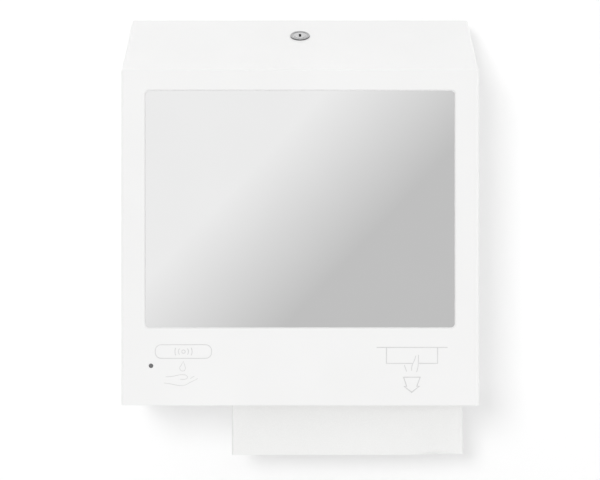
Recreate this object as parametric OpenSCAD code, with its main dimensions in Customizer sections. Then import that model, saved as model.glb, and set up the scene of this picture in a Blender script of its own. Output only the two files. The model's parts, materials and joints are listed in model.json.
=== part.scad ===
// Wall dispenser for folded paper towels and liquid soap, with a mirror in its cover.
// The wall is the plane y = 0, the front faces -Y and z = 0 is the middle of the wall screws.
// Every module is drawn with z = 0 at the cover's lower edge; place() lowers it to the shared frame.

/* [Case] */
// Outside height of the cover
case_h = 413; // [408:1:440]
// Height of the flat front, up to the fold
front_h = 347; // [340:1:356]
// How far the sloping top runs back from the front
slope_d = 96; // [88:1:102]
// Thickness of the folded sheet
sheet_t = 1.5; // [1.2:0.1:1.8]
// Outside radius of the cover's edges
edge_r = 3; // [2.5:0.5:5]
// Gap between the cover's rear edge and the wall
wall_gap = 2; // [1:0.5:4]
// Gap between the cover's sides and the base inside it
side_gap = 1; // [0.8:0.1:2]
// Gap between the cover's top and the base inside it
top_gap = 2.5; // [2:0.5:4]
// Room behind the front for the mirror and its clips
front_room = 10; // [9:0.5:16]
// Height of the tray's underside above the cover's lower edge
tray_z = 3; // [2:0.5:4]
// Depth of the base's folded flanges
flange_d = 28; // [18:1:34]

/* [Wall mount] */
// Spacing of the wall screws across
mount_w = 300; // [280:1:310]
// Spacing of the wall screws up and down
mount_h = 180; // [170:1:190]
// Height of the middle of the wall screws above the cover's lower edge
mount_z = 232; // [228:1:236]
// Diameter of the wall screw holes
mount_hole_d = 6.5; // [5:0.5:8]

/* [Hinge and lock] */
// Diameter of the cover's hinge pins
hinge_pin_d = 5; // [4:0.5:6]
// Hinge pins behind the front
hinge_back = 17; // [16:0.5:20]
// Hinge pins above the cover's lower edge
hinge_z = 12; // [11:0.5:14]
// Diameter of the lock's face
lock_d = 21; // [19:0.5:24]
// Lock behind the front, measured level
lock_back = 64; // [60:1:68]
// Length of the lock below the slope
lock_len = 20; // [16:1:22]
// Distance from the lock's axis to the striker post
striker_r = 24; // [22:1:28]

/* [Mirror and lens] */
// Width of the mirror window
mirror_w = 320; // [280:1:326]
// Height of the mirror window
mirror_h = 245; // [200:1:250]
// Top of the mirror window below the fold
mirror_drop = 21.5; // [16:0.5:40]
// Corner radius of the mirror window
mirror_r = 4; // [3:0.5:10]
// Thickness of the mirror glass
glass_t = 3; // [2:0.5:4]
// Thickness of the foam tape behind the window
tape_t = 0.8; // [0.5:0.1:1.2]
// Overlap of the glass behind the window
mirror_lap = 4; // [3:0.5:6]
// Diameter of the status lens
lens_d = 4.6; // [4:0.1:6]
// Status lens in from the left edge
lens_in = 31; // [29:0.5:36]
// Status lens above the cover's lower edge
lens_z = 41; // [36:0.5:46]

/* [Towels] */
// Width of the towels
towel_w = 250; // [230:1:260]
// Depth of the folded towels
towel_fold = 112; // [100:1:116]
// Height of the towel stack
stack_h = 228; // [60:1:240]
// Side play of the towels
towel_play = 1; // [0.5:0.1:2]
// Clear depth of the towel slot
slot_d = 30; // [24:1:36]
// How far the towel hangs below the cover's lower edge
towel_hang = 62; // [30:1:90]
// Thickness of the hanging towel's layers
paper_t = 0.6; // [0.4:0.1:1]
// Height of the ledges that carry the stack
ledge_z = 62; // [54:1:66]
// Wall thickness of the chute
chute_t = 2.5; // [2:0.5:3]

/* [Soap] */
// Clear width of the soap bay
soap_bay_w = 101; // [98:1:112]
// Height of the soap tank
tank_h = 172; // [140:1:180]
// Depth of the soap tank
tank_d = 92; // [80:1:94]
// Wall thickness of the tank
tank_wall = 2; // [1.5:0.5:3]
// Corner radius of the tank
tank_r = 10; // [6:1:14]

/* [Pump] */
// Pump axis above the cover's lower edge
pump_z = 66; // [64:1:72]
// Outside diameter of the hose
hose_d = 7; // [6:0.5:7]
// Bore of the hose
hose_bore = 4; // [3:0.5:4]
// Radius of the hose's middle line round the pump
race_r = 18; // [17:0.5:19]
// Radius of the hose's bends
hose_bend = 12; // [11:0.5:13]
// Radius of the pump's rollers
roller_r = 4; // [3.5:0.1:4.5]
// Size of the gear teeth
tooth_m = 1; // [1:0.05:1.05]
// Width of the gears
gear_w = 6; // [5:0.5:7]
// Diameter of the motor
motor_d = 24; // [20:1:25]
// Length of the motor
motor_l = 32; // [26:1:34]

/* [Power and control] */
// Diameter of a battery cell
cell_d = 26.2; // [24:0.1:27]
// Length of a battery cell
cell_l = 50; // [46:0.5:52]
// Width of the control box
control_w = 54; // [52:1:58]
// Height of the control box
control_h = 44; // [40:1:48]
// Depth of the control box
control_d = 22; // [20:1:24]
// Travel of the power switch
switch_travel = 4; // [2:0.5:4]

/* [Fits] */
// Gap of turning fits, measured on the radius
turn_gap = 0.05; // [0.03:0.01:0.08]
// Gap round screws, measured on the radius
screw_gap = 0.05; // [0.03:0.01:0.1]
// Gap between pieces that pass each other
pass_gap = 0.3; // [0.3:0.1:0.5]

/* [Hidden] */
$fn = 64;
far = 900;

// Places across the width, from the left of the base
chute_gap = 2.25;
chute_wall = 1.5;
clip_reach = 9;
clip_clear = 2;
case_w = max(4 * sheet_t + 2 * side_gap + soap_bay_w + sheet_t + 2 * (chute_gap + chute_wall + towel_play) + towel_w,
    mirror_w + 2 * (mirror_lap + clip_reach + clip_clear + sheet_t));
base_half = case_w / 2 - sheet_t - side_gap;
base_in = base_half - sheet_t;
bay_l = -base_in;
bay_r = bay_l + soap_bay_w;
chute_l = bay_r + sheet_t + chute_gap;
towel_l = chute_l + chute_wall + towel_play;
towel_r = towel_l + towel_w;
towel_x = (towel_l + towel_r) / 2;
chute_r = towel_r + towel_play + chute_wall;

// Places through the depth, from the wall
plate_y = -sheet_t;
stack_play = 2;
chute_lean = 3;
stack_rear = plate_y - stack_play - chute_lean - 0.5;
stack_front = stack_rear - towel_fold;
slot_y = (stack_rear + stack_front) / 2;
chute_front = stack_front - stack_play - chute_t;
front_in = chute_front - front_room;
front_y = front_in - sheet_t;
case_d = -front_y;
slope_a = atan((case_h - front_h) / slope_d);
hinge_y = front_y + hinge_back;
flange_y = plate_y - sheet_t;

// Places up the height, from the cover's lower edge
floor_z = tray_z + sheet_t;
tray_wall_z = 27;
plate_top = case_h - sheet_t - top_gap;
stack_z = ledge_z;
mirror_z = front_h - mirror_drop - mirror_h / 2;

// Screws
screw_r = 2;
screw_head_r = 3.5;
screw_head_t = 2.2;
small_r = 1.25;
small_head_r = 2.2;
small_head_t = 1.3;
small_len = 9;

// Pump and its drive
gear_teeth = 48;
pinion_teeth = 12;
pressure_a = 25;
tooth_play = 0.3;
pump_x = bay_l + 35;
gear_far = tooth_m * (gear_teeth + pinion_teeth) / 2;
motor_x = pump_x + gear_far;
outlet_run = 14;
outlet_x = pump_x + outlet_run + hose_bend;
motor_room = 13.5;
motor_rear = plate_y - motor_room;
motor_front = motor_rear - motor_l;
gear_plate_t = 3;
gear_plate_y = motor_front - gear_plate_t;
gear_side = 2.5;
drive_plate_t = 3;
drive_rear = gear_plate_y - 2 * gear_side - gear_w;
drive_front = drive_rear - drive_plate_t;
cup_d = 20;
cup_front = drive_front - cup_d;
window_t = 2.5;
hose_y = drive_front - cup_d / 2;
hose_r = hose_d / 2;
orbit_r = race_r - hose_r - pass_gap - roller_r;
cup_in_r = race_r + hose_r + 0.2;
cup_wall = 3.3;
cup_r = cup_in_r + cup_wall;
shaft_r = 2;
rotor_disc_t = 2;
rotor_rear = drive_front - 2;
rotor_front = cup_front + 2;
rotor_r = orbit_r + 2.8;
roller_pin_r = 1.2;
hose_tail = 10;
hose_top = pump_z + race_r + hose_bend + hose_tail;
hose_low = pump_z - race_r - hose_bend - hose_tail;
drive_l = bay_l + 4;
drive_r = bay_r - 4;
drive_low = 31;
drive_top = hose_top - 1.5;
post_in = 5;
post_r = 5;
pillar_l = 14;
pillar_rt = 44;
pillar_up = 30;
pillar_low = 24;
pillars = [[-pillar_l, pillar_up], [-pillar_l, -pillar_up], [pillar_rt, pillar_low], [pillar_rt, -pillar_low]];
plate_rim = 5;
pillar_r = 4;
ear_far = 20;
ear_in = 4;
ear_up = 28.5;
ears = [[-ear_far, ear_far], [-ear_far, -ear_far], [ear_in, ear_up], [ear_in, -ear_up]];
ear_r = 4;

// Tank
cap_h = 14;
shelf_z = hose_top + cap_h + 4.5;
tank_z = shelf_z + sheet_t;
tank_top = tank_z + tank_h;
tank_gap = 4.5;
tank_l = bay_l + tank_gap;
tank_rt = bay_r - tank_gap;
tank_rear = plate_y - 18.5;
tank_front = tank_rear - tank_d;
tank_mid = (tank_l + tank_rt) / 2;
neck_r = 10;
lid_t = 2.5;
seal_t = 1;
lid_y = tank_rear + 4.5;
lid_z = tank_top + 1;
knuckle_r = 3.5;
lid_pin_r = 1.5;
knuckle_half = 21;
lug_w = 5;

// Lock
lock_y = front_y + lock_back;
lock_z = front_h + lock_back * tan(slope_a);
lock_face_t = 1.3;
lock_rim_w = 2.4;
lock_rim_cut = 0.5;
lock_recess = 0.5;
barrel_r = lock_d / 2 - 1.7;
core_r = lock_d / 2 - 4;
cam_t = 2.5;
post_pin_r = 2.5;
hook_gap = 1.6;
hook_in = striker_r + post_pin_r + hook_gap;
hook_out = hook_in + 5;
strike_low = -lock_len - 10;
strike_t = 2;
pad_d = 12;
strike_end = striker_r + pad_d / 2;
// A point u up the slope from the lock and w out of it, in y and z
function from_lock(u, w) = [lock_y + u * cos(slope_a) - w * sin(slope_a), lock_z + u * sin(slope_a) + w * cos(slope_a)];
strike_z = from_lock(strike_end, strike_low)[1];

// Battery box
cell_gap = 0.6;
box_wall = 2;
battery_w = 2 * cell_l + 2 * box_wall + 7;
battery_h = 2 * cell_d + 3 * cell_gap + 2 * box_wall;
battery_r = base_in - 11;
battery_l = battery_r - battery_w;
battery_top = plate_top - 11;
battery_z = battery_top - battery_h;
battery_front = plate_y - sheet_t - cell_d - 2 * cell_gap - 1;
door_t = 2;
door_pin_r = 1.5;
door_knuckle_r = 3;
door_y = battery_front - pass_gap - door_t;
door_drop = 2.6;
door_z = battery_z - door_drop;
cell_y = plate_y - sheet_t - cell_gap - cell_d / 2;
panel_gap = 9.8;
panel_top = battery_z - panel_gap;
panel_slope_d = 40;
panel_slope_h = 60;

// Control box and sensor
control_l = bay_l + 5;
control_z = 20;
control_front = chute_front + 1.5;
control_wall = 2;
board_y = control_front + 10;
board_t = 1.6;
switch_x = control_l + control_w - 15;
switch_z = control_z + 12;
sensor_x = pump_x - 2;
sensor_y = cup_front - 4;
sensor_w = 30;
sensor_d = 12;

// Cables
cable_r = 1.5;
lead_r = 1.2;
cable_bend = 6;
cable_x = outlet_x + 20;
cable_y = plate_y - 6.5;
cable_clear = 4;
cable_cross_z = min(max(tank_top, stack_z + stack_h) + cable_clear, battery_z - cable_bend);
cable_low_z = 21.5;
lead_x = motor_x + 5;
lead_low_z = 26.5;

function unit(v) = v / norm(v);
function half_angle(p, a, b) = acos(unit(a - p) * unit(b - p)) / 2;
function arc_mid(p, a, b, r) = p + unit(unit(a - p) + unit(b - p)) * r / sin(half_angle(p, a, b));
function bearing(v) = atan2(v[1], v[0]);
function turn(a, b) = (b - a + 540) % 360 - 180;
// Corner p between a and b, rounded to radius r in short straight steps
function soft_corner(p, a, b, r, steps) =
    r <= 0 ? [p] :
    let (t = r / tan(half_angle(p, a, b)),
         m = arc_mid(p, a, b, r),
         from = bearing(p + unit(a - p) * t - m),
         sweep = turn(from, bearing(p + unit(b - p) * t - m)))
    [for (i = [0 : steps]) m + r * [cos(from + sweep * i / steps), sin(from + sweep * i / steps)]];
function soft_points(points, radii, steps) =
    let (n = len(points))
    [for (i = [0 : n - 1])
        for (q = soft_corner(points[i], points[(i + n - 1) % n], points[(i + 1) % n], radii[i], steps)) q];
function box_points(x0, x1, y0, y1) = [[x0, y0], [x1, y0], [x1, y1], [x0, y1]];

module soft_polygon(points, radii, steps = 6) polygon(soft_points(points, radii, steps));
module soft_box(x0, x1, y0, y1, r) soft_polygon(box_points(x0, x1, y0, y1), [r, r, r, r]);
module slab(x0, x1, y0, y1, z0, z1) translate([x0, y0, z0]) cube([x1 - x0, y1 - y0, z1 - z0]);
// A section given in y and z, drawn out from x0 to x1
module section_yz(x0, x1) translate([x0, 0, 0]) rotate([90, 0, 90]) linear_extrude(x1 - x0) children();
// A face given in x and z, drawn out from y1 forward to y0
module face_xz(y0, y1) translate([0, y1, 0]) rotate([90, 0, 0]) linear_extrude(y1 - y0) children();
module rod_x(x0, x1, y, z, r) translate([x0, y, z]) rotate([0, 90, 0]) cylinder(r = r, h = x1 - x0);
module rod_y(x, y0, y1, z, r) translate([x, y0, z]) rotate([-90, 0, 0]) cylinder(r = r, h = y1 - y0);
module rod_z(x, y, z0, z1, r) translate([x, y, z0]) cylinder(r = r, h = z1 - z0);
module both_sides() {
    children();
    mirror([1, 0, 0]) children();
}
module place() translate([0, 0, -mount_z]) children();
module at_lock() translate([0, lock_y, lock_z]) rotate([slope_a, 0, 0]) children();

// Screws that hold the folded sheets to the back plate
tray_screws = [for (x = [-mount_w / 2, 0, mount_w / 2]) [x, floor_z + 12]];
panel_screws = [for (x = [bay_r - 7, towel_r - 6], z = [shelf_z + 36, panel_top - 20]) [x, z]];
shelf_screws = [for (x = [bay_l + 18, bay_r - 30]) [x, shelf_z - 10]];
striker_screws = [for (x = [-15, 15]) [x, strike_z]];
box_screws = [for (x = [battery_l + 26, battery_r - 26]) [x, battery_z + battery_h / 2]];
wall_holes = [for (x = [-mount_w / 2, mount_w / 2], z = [-mount_h / 2, mount_h / 2]) [x, mount_z + z]];
posts = [for (x = [drive_l + post_in, drive_r - post_in], z = [drive_low + post_in, drive_top - post_in]) [x, z]];

module screw_holes(places, y0, y1, r = screw_r + screw_gap) for (p = places) rod_y(p[0], y0, y1, p[1], r);

module back_plate() color("gainsboro") difference() {
    union() {
        slab(-base_half, base_half, plate_y, 0, tray_z, plate_top);
        slab(-base_half, base_half, -flange_d, plate_y, plate_top - sheet_t, plate_top);
        both_sides() slab(base_in, base_half, -flange_d, plate_y, tray_wall_z + side_gap, plate_top);
    }
    screw_holes(wall_holes, -sheet_t * 2, sheet_t, mount_hole_d / 2);
    screw_holes(concat(tray_screws, panel_screws, shelf_screws, striker_screws, box_screws, posts),
        -sheet_t * 2, sheet_t);
}

module bottom_tray() color("gainsboro") difference() {
    tray_front = hinge_y - 11;
    boss_r = hinge_pin_d / 2 + 2.5;
    boss_w = 4;
    collar = slot_d / 2 + chute_wall + pass_gap;
    union() {
        slab(-base_half, base_half, tray_front, plate_y, tray_z, floor_z);
        slab(-base_half, base_half, tray_front, tray_front + sheet_t, tray_z, hinge_z + 4);
        slab(-base_half, base_half, flange_y, plate_y, tray_z, floor_z + 20);
        both_sides() {
            slab(base_in, base_half, tray_front, plate_y, tray_z, tray_wall_z);
            rod_x(base_in - boss_w, base_half, hinge_y, hinge_z, boss_r);
        }
    }
    rod_x(-far, far, hinge_y, hinge_z, hinge_pin_d / 2);
    slab(chute_l - pass_gap, chute_r + pass_gap, slot_y - collar, slot_y + collar, 0, floor_z + 1);
    rod_z(outlet_x, hose_y, 0, floor_z + 1, nozzle_r + pass_gap);
    slab(sensor_x - sensor_w / 2, sensor_x + sensor_w / 2, sensor_y - sensor_d / 2, sensor_y + sensor_d / 2,
        0, floor_z + 1);
    screw_holes(tray_screws, flange_y - 1, plate_y + 1);
}

module sheet_screws() color("silver")
    for (p = concat(tray_screws, panel_screws, shelf_screws, striker_screws, box_screws)) {
        drive_r = 1.3;
        difference() {
            union() {
                rod_y(p[0], flange_y - screw_head_t, flange_y, p[1], screw_head_r);
                rod_y(p[0], flange_y, -0.2, p[1], screw_r);
            }
            rod_y(p[0], flange_y - screw_head_t - 1, flange_y - screw_head_t + 1.2, p[1], drive_r);
        }
    }

module hinge_pins() color("silver") both_sides() {
    head_x = base_in - 4;
    head_t = 1.6;
    rod_x(head_x - head_t, head_x, hinge_y, hinge_z, hinge_pin_d / 2 + 1.5);
    rod_x(head_x - head_t, case_w / 2, hinge_y, hinge_z, hinge_pin_d / 2);
}

module hinge_washers() color("white") both_sides() difference() {
    slack = 0.1;
    rod_x(base_half + slack, base_half + side_gap - slack, hinge_y, hinge_z, hinge_pin_d / 2 + 2.5);
    rod_x(0, far, hinge_y, hinge_z, hinge_pin_d / 2 + turn_gap);
}

// The post stands square to the slope on a pad, and the bent arm runs level from the pad to the back plate
module lock_striker() color("silver") difference() {
    foot_half = 22;
    foot_low = 8;
    foot_up = 22;
    pad_half = 10;
    arm_end = flange_y + sheet_t / 2;
    union() {
        at_lock() rod_z(0, striker_r, strike_low, -lock_len + 4, post_pin_r);
        section_yz(-pad_half, pad_half)
            polygon([from_lock(striker_r - pad_d / 2, strike_low), from_lock(strike_end, strike_low),
                [arm_end, strike_z], [arm_end, strike_z + strike_t],
                from_lock(strike_end + strike_t * tan(slope_a / 2), strike_low + strike_t),
                from_lock(striker_r - pad_d / 2, strike_low + strike_t)]);
        slab(-foot_half, foot_half, flange_y, plate_y, strike_z - foot_low, strike_z + foot_up);
    }
    screw_holes(striker_screws, flange_y - 1, plate_y + 1);
}

module divider_panel() color("gainsboro") difference() {
    front = chute_front;
    union() {
        section_yz(bay_r, bay_r + sheet_t)
            polygon([[front, floor_z], [flange_y - pass_gap, floor_z], [flange_y - pass_gap, tray_wall_z],
                [plate_y, tray_wall_z], [plate_y, panel_top], [front + panel_slope_d, panel_top], [front, panel_top - panel_slope_h]]);
        slab(bay_r - 14, bay_r, flange_y, plate_y, shelf_z + 20, panel_top);
    }
    screw_holes(panel_screws, flange_y - 1, plate_y + 1);
    rod_x(bay_r - 1, bay_r + sheet_t + 1, cable_y, cable_cross_z, cable_r + 1);
}

module right_guide() color("gainsboro") difference() {
    front = chute_front + chute_t + pass_gap;
    union() {
        section_yz(chute_r - chute_wall, chute_r)
            polygon([[front, ledge_z + 1], [plate_y, ledge_z + 1], [plate_y, panel_top],
                [front + panel_slope_d, panel_top], [front, panel_top - panel_slope_h]]);
        slab(towel_r - 13, chute_r - chute_wall, flange_y, plate_y, shelf_z + 20, panel_top);
    }
    screw_holes(panel_screws, flange_y - 1, plate_y + 1);
}

// Funnel with a ledge at the front and the rear for the stack, and a collar through the tray
collar_z = 1.5;
foot_z = floor_z + chute_t;
foot_d = 9;
slot_in = slot_d / 2;
ledge_in = 37;
chute_reach = towel_fold / 2 + stack_play;
lip_z = ledge_z + 44;
notch_r = 34;
module chute_half(side, lip) section_yz(chute_l, chute_r)
    polygon([for (p = [[slot_in, collar_z], [slot_in, foot_z], [ledge_in, ledge_z], [chute_reach, ledge_z],
        [chute_reach, lip], [chute_reach + chute_t, lip], [chute_reach + chute_t, ledge_z - chute_t],
        [ledge_in + chute_lean, ledge_z - chute_t], [slot_in + chute_lean + 1, foot_z], [slot_in + foot_d, foot_z],
        [slot_in + foot_d, floor_z], [slot_in + chute_wall, floor_z], [slot_in + chute_wall, collar_z]])
        [slot_y + side * p[0], p[1]]]);
module chute_end(x) section_yz(x, x + chute_wall)
    polygon([for (p = [[-1, collar_z], [-1, foot_z], [-1, ledge_z], [1, ledge_z], [1, foot_z], [1, collar_z]])
        let (out = p[1] == ledge_z ? ledge_in + 1 : slot_in + chute_wall / 2)
        [slot_y + p[0] * out, p[1]]]);
module towel_chute() color("whitesmoke") difference() {
    union() {
        chute_half(-1, lip_z);
        chute_half(1, ledge_z + 0.5);
        chute_end(chute_l);
        chute_end(chute_r - chute_wall);
    }
    rod_y(towel_x, chute_front - 5, stack_front, lip_z + 4, notch_r);
}

module towel_stack() color("white")
    slab(towel_l, towel_r, stack_front, stack_rear, stack_z, stack_z + stack_h);

module tank_shelf() color("gainsboro") difference() {
    x0 = bay_l + 1.5;
    x1 = bay_r - 1.5;
    front = tank_front - 4;
    union() {
        slab(x0, x1, front, plate_y, shelf_z, tank_z);
        slab(x0, x1, front - sheet_t, front, shelf_z, tank_z + 14);
        slab(x0, x1, flange_y, plate_y, shelf_z - 18, shelf_z);
        slab(x0, x0 + sheet_t, front, flange_y, shelf_z - 5, shelf_z);
        slab(x1 - sheet_t, x1, front, flange_y, shelf_z - 5, shelf_z);
    }
    rod_z(outlet_x, hose_y, shelf_z - 1, tank_z + 1, neck_r + 1);
    rod_z(cable_x, cable_y, shelf_z - 22, tank_z + 1, cable_r + 2);
    screw_holes(shelf_screws, flange_y - 1, plate_y + 1);
}

module soap_tank() color("white") difference() {
    bottom_t = 2.5;
    neck_wall = 2.5;
    neck_z = hose_top + 3;
    union() {
        translate([0, 0, tank_z]) linear_extrude(tank_h) soft_box(tank_l, tank_rt, tank_front, tank_rear, tank_r);
        rod_z(outlet_x, hose_y, neck_z, tank_z + 1, neck_r);
        for (side = [-1, 1])
            translate([tank_mid + side * (knuckle_half + lug_w / 2 + pass_gap) - lug_w / 2, 0, 0]) {
                rod_x(0, lug_w, lid_y, lid_z, knuckle_r);
                section_yz(0, lug_w)
                    polygon([[tank_rear - 0.5, lid_z - 22], [tank_rear - 0.5, tank_top - 1], [lid_y, lid_z + 2],
                        [lid_y + 3, lid_z - 1]]);
            }
    }
    translate([0, 0, tank_z + bottom_t]) linear_extrude(tank_h)
        soft_box(tank_l + tank_wall, tank_rt - tank_wall, tank_front + tank_wall, tank_rear - tank_wall,
            tank_r - tank_wall);
    rod_z(outlet_x, hose_y, neck_z - 1, tank_z + bottom_t + 1, neck_r - neck_wall);
    rod_x(tank_l, tank_rt, lid_y, lid_z, lid_pin_r);
}

module lid_pin() color("silver")
    rod_x(tank_mid - knuckle_half - lug_w - 1, tank_mid + knuckle_half + lug_w + 1, lid_y, lid_z, lid_pin_r);

module outlet_cap() color("dimgray") difference() {
    barb = 9;
    floor_t = 2;
    union() {
        rod_z(outlet_x, hose_y, hose_top, hose_top + cap_h, neck_r + 3);
        rod_z(outlet_x, hose_y, hose_top - barb, hose_top + 1, hose_bore / 2);
    }
    rod_z(outlet_x, hose_y, hose_top + floor_t, hose_top + cap_h + 1, neck_r + screw_gap);
    rod_z(outlet_x, hose_y, hose_top - barb - 1, hose_top + floor_t + 1, hose_bore / 2 - 0.8);
}

module neck_washer() color("black") difference() {
    rod_z(outlet_x, hose_y, hose_top + 2, hose_top + 3, neck_r - 0.2);
    rod_z(outlet_x, hose_y, hose_top + 1, hose_top + 4, neck_r - 4);
}

// Hose from the tank down, round the pump and down to the nozzle, all in one upright plane
module hose_run(r) translate([pump_x, hose_y, pump_z]) rotate([90, 0, 0]) {
    run = outlet_x - pump_x - hose_bend;
    rotate([0, 0, 90]) rotate_extrude(angle = 180) translate([race_r, 0]) circle(r);
    translate([0, race_r, 0]) rotate([0, 90, 0]) cylinder(r = r, h = run);
    translate([0, -race_r, 0]) rotate([0, 90, 0]) cylinder(r = r, h = run);
    translate([run, race_r + hose_bend, 0]) rotate([0, 0, -90])
        rotate_extrude(angle = 90) translate([hose_bend, 0]) circle(r);
    translate([run, -race_r - hose_bend, 0])
        rotate_extrude(angle = 90) translate([hose_bend, 0]) circle(r);
    translate([run + hose_bend, race_r + hose_bend, 0]) rotate([-90, 0, 0]) cylinder(r = r, h = hose_tail);
    translate([run + hose_bend, -race_r - hose_bend, 0]) rotate([90, 0, 0]) cylinder(r = r, h = hose_tail);
}

module pump_hose() color("lightyellow") difference() {
    hose_run(hose_r);
    hose_run(hose_bore / 2);
}

module pump_chassis() color("dimgray") difference() {
    union() {
        slab(drive_l, drive_r, drive_front, drive_rear, drive_low, drive_top);
        for (p = posts) rod_y(p[0], drive_rear - 1, plate_y, p[1], post_r);
        for (p = pillars) rod_y(pump_x + p[0], drive_rear - 1, gear_plate_y, pump_z + p[1], pillar_r);
    }
    screw_holes(posts, drive_front - 1, 0);
    rod_y(pump_x, drive_front - 1, drive_rear + 1, pump_z, 2 * shaft_r);
    screw_holes([for (p = ears) [pump_x + p[0], pump_z + p[1]]], drive_front - 1, drive_rear + 1, small_r);
    screw_holes([for (p = pillars) [pump_x + p[0], pump_z + p[1]]],
        gear_plate_y - small_len + gear_plate_t - 1, gear_plate_y + 1, small_r + screw_gap);
}

module chassis_screws() color("silver") for (p = posts) difference() {
    union() {
        rod_y(p[0], drive_front - screw_head_t, drive_front, p[1], screw_head_r);
        rod_y(p[0], drive_front, -0.2, p[1], screw_r);
    }
    rod_y(p[0], drive_front - screw_head_t - 1, drive_front - screw_head_t + 1.2, p[1], 1.3);
}

module cup_outline(r) {
    circle(r);
    translate([0, -r]) square([outlet_x - pump_x - hose_bend, 2 * r]);
}

module pump_housing() color("gray") difference() {
    translate([pump_x, cup_front + cup_d, pump_z]) rotate([90, 0, 0]) linear_extrude(cup_d) union() {
        cup_outline(cup_r);
        for (p = ears) translate(p) circle(ear_r);
    }
    translate([pump_x, drive_front + 1, pump_z]) rotate([90, 0, 0]) linear_extrude(cup_d + 2) {
        circle(cup_in_r);
        translate([0, -cup_in_r]) square([far, 2 * cup_in_r]);
    }
    screw_holes([for (p = ears) [pump_x + p[0], pump_z + p[1]]], cup_front - 1, drive_front + 1,
        small_r + screw_gap);
}

module pump_window() color("lightblue", 0.4) difference() {
    translate([pump_x, cup_front, pump_z]) rotate([90, 0, 0]) linear_extrude(window_t) union() {
        cup_outline(cup_r);
        for (p = ears) translate(p) circle(ear_r);
    }
    screw_holes([for (p = ears) [pump_x + p[0], pump_z + p[1]]], cup_front - window_t - 1, cup_front + 1,
        small_r + screw_gap);
}

// One size of small screw holds the pump window, the gear plate and the motor
module small_screw(x, z, y, side) {
    head = side * small_head_t;
    tip = -side * small_len;
    difference() {
        union() {
            rod_y(x, min(y, y + head), max(y, y + head), z, small_head_r);
            rod_y(x, min(y, y + tip), max(y, y + tip), z, small_r);
        }
        rod_y(x, y + head - 0.8, y + head + 0.8, z, 0.8);
    }
}
motor_screw_r = 8;
module small_screws() color("silver") {
    for (p = ears) small_screw(pump_x + p[0], pump_z + p[1], cup_front - window_t, -1);
    for (p = pillars) small_screw(pump_x + p[0], pump_z + p[1], gear_plate_y + gear_plate_t, 1);
    for (s = [-1, 1]) small_screw(motor_x, pump_z + s * motor_screw_r, gear_plate_y, -1);
}

module gear_plate() color("gray") difference() {
    slab(pump_x - pillar_l - plate_rim, pump_x + pillar_rt + plate_rim, gear_plate_y, gear_plate_y + gear_plate_t,
        pump_z - pillar_up - plate_rim, pump_z + pillar_up + plate_rim);
    rod_y(pump_x, gear_plate_y - 1, motor_front + 1, pump_z, 2 * shaft_r);
    rod_y(motor_x, gear_plate_y - 1, motor_front + 1, pump_z, 3 + screw_gap);
    screw_holes([for (p = pillars) [pump_x + p[0], pump_z + p[1]]], gear_plate_y - 1, motor_front + 1,
        small_r + screw_gap);
    screw_holes([for (s = [-1, 1]) [motor_x, pump_z + s * motor_screw_r]], gear_plate_y - 1, motor_front + 1,
        small_r + screw_gap);
}

module shaft_bushes() color("goldenrod") {
    rim_r = 2 * shaft_r + 1.5;
    rim_t = 1;
    difference() {
        union() {
            rod_y(pump_x, drive_front, drive_rear, pump_z, 2 * shaft_r);
            rod_y(pump_x, drive_rear, drive_rear + rim_t, pump_z, rim_r);
        }
        rod_y(pump_x, drive_front - 1, drive_rear + rim_t + 1, pump_z, shaft_r + turn_gap);
    }
    difference() {
        union() {
            rod_y(pump_x, gear_plate_y, motor_front, pump_z, 2 * shaft_r);
            rod_y(pump_x, gear_plate_y - rim_t, gear_plate_y, pump_z, rim_r);
        }
        rod_y(pump_x, gear_plate_y - rim_t - 1, motor_front + 1, pump_z, shaft_r + turn_gap);
    }
}

module motor() color("silver") difference() {
    cap_t = 1.5;
    union() {
        rod_y(motor_x, motor_front, motor_rear, pump_z, motor_d / 2);
        rod_y(motor_x, motor_front - gear_plate_t, motor_front, pump_z, 3);
        rod_y(motor_x, motor_rear, motor_rear + cap_t, pump_z, motor_d / 2 - 3);
    }
    rod_y(motor_x, motor_front - gear_plate_t - 1, motor_front + 3, pump_z, 1 + turn_gap);
    screw_holes([for (s = [-1, 1]) [motor_x, pump_z + s * motor_screw_r]], motor_front - 1, motor_front + small_len,
        small_r + screw_gap);
}

module control_box() color("gray") difference() {
    x1 = control_l + control_w;
    z1 = control_z + control_h;
    rear = control_front + control_d;
    lid_y0 = control_front + control_wall;
    foot = 8;
    stand_r = 2.5;
    union() {
        difference() {
            slab(control_l, x1, lid_y0, rear, control_z, z1);
            slab(control_l + control_wall, x1 - control_wall, lid_y0 - 1, rear - control_wall,
                control_z + control_wall, z1 - control_wall);
        }
        for (x = [control_l + 8, x1 - 8 - foot])
            slab(x, x + foot, rear - 3 - foot, rear - 3, floor_z, control_z + 1);
        for (x = [control_l + 7, x1 - 7], z = [control_z + 7, z1 - 7])
            rod_y(x, board_y + board_t, rear - control_wall + 1, z, stand_r);
    }
    rod_x(x1 - control_wall - 1, x1 + 1, cable_end_y, cable_low_z + 3, cable_r + screw_gap);
    rod_x(x1 - control_wall - 1, x1 + 1, lead_end_y, lead_low_z + 2, lead_r + screw_gap);
}
cable_end_y = control_front + control_d - 5;
lead_end_y = control_front + control_d - 9;

module control_lid() color("darkgray") difference() {
    x1 = control_l + control_w;
    z1 = control_z + control_h;
    slab(control_l, x1, control_front, control_front + control_wall, control_z, z1);
    rod_y(led_x, control_front - 1, control_front + control_wall + 1, lens_z, led_r + pass_gap);
    slab(switch_x - switch_half - pass_gap, switch_x + switch_half + switch_travel + pass_gap,
        control_front - 1, control_front + control_wall + 1, switch_z - 2 - pass_gap, switch_z + 2 + pass_gap);
}
led_x = -case_w / 2 + lens_in;
led_r = 2.5;
switch_half = 1.5;

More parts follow.
